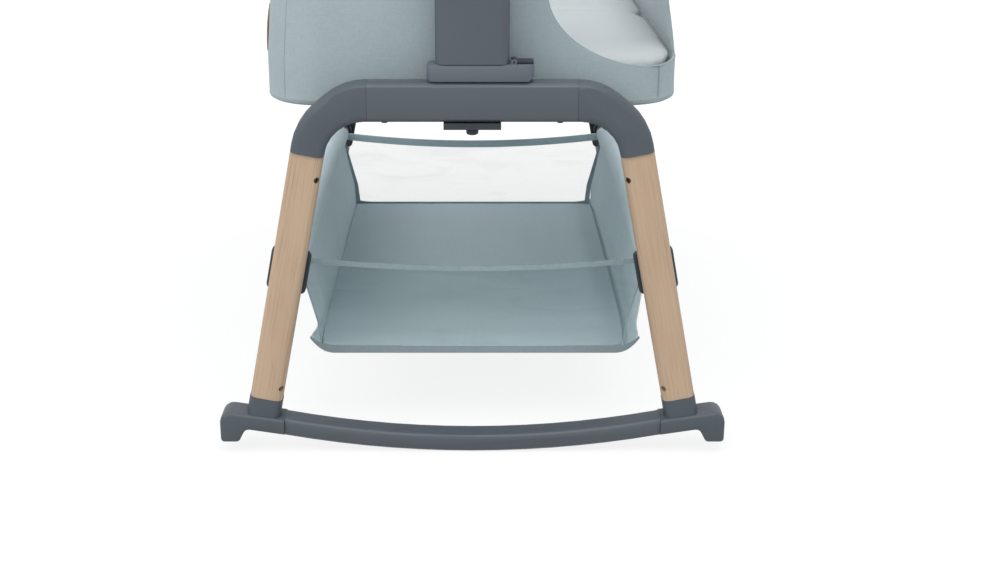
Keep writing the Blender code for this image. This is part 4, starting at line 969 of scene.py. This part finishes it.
# %% Basket sizes
tube_low, tube_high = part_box("side_tube_right")
tube_x = (tube_low.x + tube_high.x) / 2
tube_z = (tube_low.z + tube_high.z) / 2
basket_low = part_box("basket_floor")[0].z
floor_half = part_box("basket_floor")[1].x
basket_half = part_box("basket_wall_left")[1].y
sleeve_shift = 0.0025
sleeve_across = 0.0145
sleeve_up = 0.0128
sleeve_low = tube_z - 0.0125
ear_z = basket_low + 0.023
waist_z = basket_low + 0.32 * (tube_z - basket_low)
waist_x = tube_x - 0.0245
wall_foot = floor_half + 0.0012
wall_top = tube_x - 0.0025
print("basket tubes at x", round(tube_x, 4), "z", round(tube_z, 4), "length", basket_half * 2)


# %% Basket sides
def wall_x(z):
    """The side's distance from the middle at a height, below the sleeve."""
    if z < waist_z:
        return wall_foot + (waist_x - wall_foot) * (z - basket_low) / (waist_z - basket_low)
    return waist_x + (wall_top - waist_x) * (z - waist_z) / (sleeve_low - waist_z)


def spread(y, side):
    """The basket is a few millimetres wider behind its near end, most on the right."""
    along = (y + basket_half) / (2 * basket_half)
    return (0.0055 if side < 0 else 0.0085) * (1 - math.exp(-along / 0.07))


def loose(up, z, side, y):
    """How far the cloth hangs out of its straight line: most at the near end, and on the right."""
    along = (y + basket_half) / (2 * basket_half)
    near = math.exp(-(y + basket_half) / 0.035)
    ear = math.exp(-((z - ear_z) / 0.011) ** 2) * near
    if side < 0:
        return 0.0125 * ear
    slack = (1 - math.exp(-up / 0.06)) * max(0.0, 1 - up) ** 0.8
    return 0.018 * slack * (1 - 0.5 * along) * min(1.0, (1 - along) * 16) + 0.004 * ear


def basket_column(y, edge, side):
    """A column of points up the wall at a place along the basket, then round the tube."""
    column = []
    low = basket_low + 0.0005 + 0.006 * math.exp(-(y + basket_half) / 0.012)
    for j in range(27):
        up = j / 26
        z = low + (sleeve_low - low) * up
        spot = Vector((side * 3.0, y, z))
        bend = ripple(spot, 0.11, 2.2, 0.0052) + ripple(spot, 0.022, 7.0, 0.0024, 5.0)
        bend *= math.sin(math.pi * up) * min(1.0, edge * 9)
        x = wall_x(z) + spread(y, side) * (1 - up) + bend + loose(up, z, side, y)
        column.append(Vector((side * x, y, z)))
    for j in range(22):
        angle = math.radians(250 - 330 * j / 21)
        slack = 1 + ripple(Vector((angle, y, side)), 0.02, 1, 0.03)
        x = tube_x + sleeve_shift + sleeve_across * slack * math.cos(angle)
        column.append(Vector((side * x, y, tube_z + sleeve_up * slack * math.sin(angle))))
    return column


for name, side in sides.items():
    columns = [basket_column(basket_half * along, 1 - abs(along), side)
               for along in [2 * i / 90 - 1 for i in range(91)]]
    wall = sheet_mesh(f"basket_side_{name}", columns, lit_basket_cloth, 0.0014, 0.0, flip=side < 0)
    sew_on(wall, "stand", f"basket_wall_{name}")
    print("basket side made:", wall.name)


# %% Basket floor
def floor_point(x_share, y_share, z):
    """A point of the floor's plan, whose near corners turn up a little."""
    corner = (max(0.0, abs(x_share) - 0.93) * max(0.0, -y_share - 0.93) / 0.0049) ** 2
    y = y_share * (basket_half - 0.002)
    return Vector((x_share * (floor_half + 0.0006 + spread(y, x_share)), y, z + 0.004 * corner))


def floor_rule(along, across):
    """A point of the floor, which sags in the middle and is slightly uneven."""
    x, y = 2 * across - 1, 2 * along - 1
    uneven = ripple(floor_point(x, y, 0), 0.09, 1, 0.0009) * (1 - max(abs(x), abs(y)) ** 6)
    return floor_point(x, y, floor_top - 0.0012 * (1 - x * x) * (1 - y * y) + uneven)


floor_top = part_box("basket_floor")[1].z
basket_floor = sheet_mesh("basket_base", grid(60, 30, floor_rule), lit_basket_cloth, 0.005)
sew_on(basket_floor, "stand", "basket_floor")
print("basket floor made")

# %% [markdown]
# ## The basket's ends
# Each end has a net, a tape that closes its top edge and sags between the tubes, and a band
# along the floor. The near band climbs at its corners, where it sticks out as two small ears.

# %% Basket end sizes
tape_sag = {"near": 0.0115, "far": 0.0135}
tape_drop = {"near": 0.0016, "far": -0.0014}
tape_height = {"near": 0.0072, "far": 0.0125}
hem_height = {"near": 0.0088, "far": floor_top + 0.0068 - basket_low}
hem_reach = {"near": (0.2230, 0.2300), "far": (0.2150, 0.2150)}
hem_climb = {"near": 0.0215, "far": 0.008}
ear_length = 0.034
net_reach = tube_x - 0.012


def rim_sag(label, x):
    """Height of an end's tape, which sags between the tubes."""
    share = min(1.0, abs(x) / net_reach)
    return tube_z - tape_drop[label] - tape_sag[label] * (1 - share * share)


# %% Basket ends
def basket_end(label, end):
    """The net end of the basket with its tape and band."""
    def net_point(i, j):
        across, arch = 2 * i - 1, math.sin(math.pi * j)
        low = basket_low + 0.001
        z = low + (rim_sag(label, across * net_reach) - low) * j
        x = across * (wall_x(min(z, tube_z - 0.014)) + 0.0045 * max(0, end) - 0.001)
        belly = 0.004 * (1 - across * across) + ripple(Vector((x, end * 2.0, z)), 0.06, 1.6, 0.0016)
        return Vector((x, end * (basket_half - 0.0015 - belly * arch), z))

    def tape_point(i, j):
        x = (2 * i - 1) * (tube_x - 0.010)
        z = rim_sag(label, x) - tape_height[label] * (1 - j)
        return Vector((x, end * (basket_half + 0.0004), z))

    def hem_point(i, j):
        reach = hem_reach[label][1 if i > 0.5 else 0]
        x = (2 * i - 1) * reach
        rise = hem_climb[label] * max(0.0, (abs(x) - reach) / ear_length + 1) ** 2.3
        z = basket_low + 0.0009 + rise + (hem_height[label] - 0.3 * rise) * j
        return Vector((x, end * (basket_half + 0.0006), z))

    far = end > 0
    panel = sheet_mesh(f"basket_net_{label}", grid(60, 20, net_point),
                       basket_net if far else dense_near_net, flip=far)
    # At the far end the tape and the band get lighter cloth than at the near end: painted light for
    # faces that turn away from the lamps.
    tape = sheet_mesh(f"basket_tape_{label}", grid(60, 5, tape_point),
                      lit_basket_cloth if far else teal_tape, 0.0022, 0.0, flip=far)
    hem_columns = grid(120, 5, hem_point)
    hem = sheet_mesh(f"basket_hem_{label}", hem_columns, lit_far_tape if far else hem_cloth,
                     0.002, 0.0, flip=far)
    cord = tube_along(f"basket_cord_{label}", [column[0] for column in hem_columns], 0.0011,
                      teal_tape)
    sew_on(panel, "stand", f"basket_end_{label}", slot="sheer_mesh")
    for piece in (tape, hem, cord):
        sew_on(piece, "stand")
    return panel


print("basket ends:", [basket_end(label, end).name for label, end in ends.items()])

# %% [markdown]
# ## Corner bindings
# A narrow folded tape covers each corner, where a side and an end are sewn together. The far
# ones show more of their width, because the net there lies a little further out.


# %% Corner bindings
def corner_binding(label, end, name, side):
    """A folded tape over a corner: wide on the far corners, narrow on the near ones."""
    # The far corners' lighter tape is painted light.
    width, start, out, finish = ((0.0085, 0.004, 0.0053, lit_far_tape) if end > 0
                                 else (0.0022, 0.014, 0.0008, teal_tape))

    def tape_point(i, j):
        low = basket_low + start
        z = low + (tube_z - 0.010 - low) * j
        return Vector((side * (wall_x(z) + out - width * i),
                       end * (basket_half + 0.0012 - 0.0004 * i), z))

    tape = sheet_mesh(f"basket_binding_{label}_{name}", grid(8, 24, tape_point), finish,
                      0.0012, 0.0, flip=end * side > 0)
    sew_on(tape, "stand")
    print("corner binding sewn on:", tape.name)


for label, end in ends.items():
    for name, side in sides.items():
        corner_binding(label, end, name, side)

# %% [markdown]
# ## Floor, backdrop and light
# A studio photograph of a product has a white sweep under it and big soft lamps. The floor takes
# the crib's shadow. Where the camera, a reflection or glass looks at it, it is darker and glows
# by itself instead, so that it shows white there without any extra light on the crib. The key
# lamp stands to the left, which makes the left faces lighter, as in the photograph.


# %% Stage
def seen_share(tree):
    """Is 1 where the camera, a reflection or glass looks, and 0 for light that spreads."""
    rays = node(tree, "ShaderNodeLightPath").outputs
    seen = math_node(tree, "MAXIMUM", rays["Is Camera Ray"], rays["Is Glossy Ray"])
    return math_node(tree, "MAXIMUM", seen, rays["Is Transmission Ray"])


world = bpy.data.worlds.new("studio")
bpy.context.scene.world = world
world.use_nodes = True
tree = world.node_tree
tree.nodes.clear()
plain = node(tree, "ShaderNodeBackground", {"Color": (1, 1, 1, 1), "Strength": 1.0})
soft = node(tree, "ShaderNodeBackground", {"Color": (0.97, 0.99, 1, 1), "Strength": 0.88})
either = node(tree, "ShaderNodeMixShader", {0: seen_share(tree), 1: soft.outputs[0],
                                            2: plain.outputs[0]})
node(tree, "ShaderNodeOutputWorld", {"Surface": either.outputs[0]})

floor_mesh = bpy.data.meshes.new("studio_floor")
floor_mesh.from_pydata([(-6, -6, 0), (6, -6, 0), (6, 6, 0), (-6, 6, 0)], [], [(0, 1, 2, 3)])
floor = add_object("studio_floor", floor_mesh)
floor_finish, tree, shader = new_material("floor_white", Roughness=1.0, Specular_IOR_Level=0.0)
seen = seen_share(tree)
feed(tree, shader, {"Base Color": two_tone(tree, seen, rgba((0.60, 0.60, 0.60)),
                                           rgba((0.14, 0.14, 0.14)))})
away = node(tree, "ShaderNodeVectorMath", {0: coordinates(tree)}, operation="LENGTH")
lift = math_node(tree, "MULTIPLY", seen,
                 remap(tree, away.outputs["Value"], 0.7, 2.2, 0.84, 1.0))
glow = node(tree, "ShaderNodeEmission", {"Color": (1, 1, 1, 1), "Strength": lift})
total = node(tree, "ShaderNodeAddShader", {0: shader.outputs[0], 1: glow.outputs[0]})
feed(tree, tree.nodes["Material Output"], {"Surface": total.outputs[0]})
floor_mesh.materials.append(floor_finish)


def soft_lamp(name, place, aim, size, watts):
    """A square area lamp that points at a spot."""
    data = bpy.data.lights.new(name, "AREA")
    data.size = size
    data.energy = watts
    lamp = add_object(name, data)
    lamp.location = place
    lamp.rotation_euler = (Vector(aim) - Vector(place)).to_track_quat("-Z", "Y").to_euler()


soft_lamp("key", (-2.6, -2.6, 2.6), (0, 0, 0.35), 2.4, 44)
soft_lamp("top", (0.2, -1.3, 3.1), (0, 0, 0.4), 2.2, 58)
bpy.context.scene.view_settings.view_transform = "Standard"
print("stage and two lamps ready")
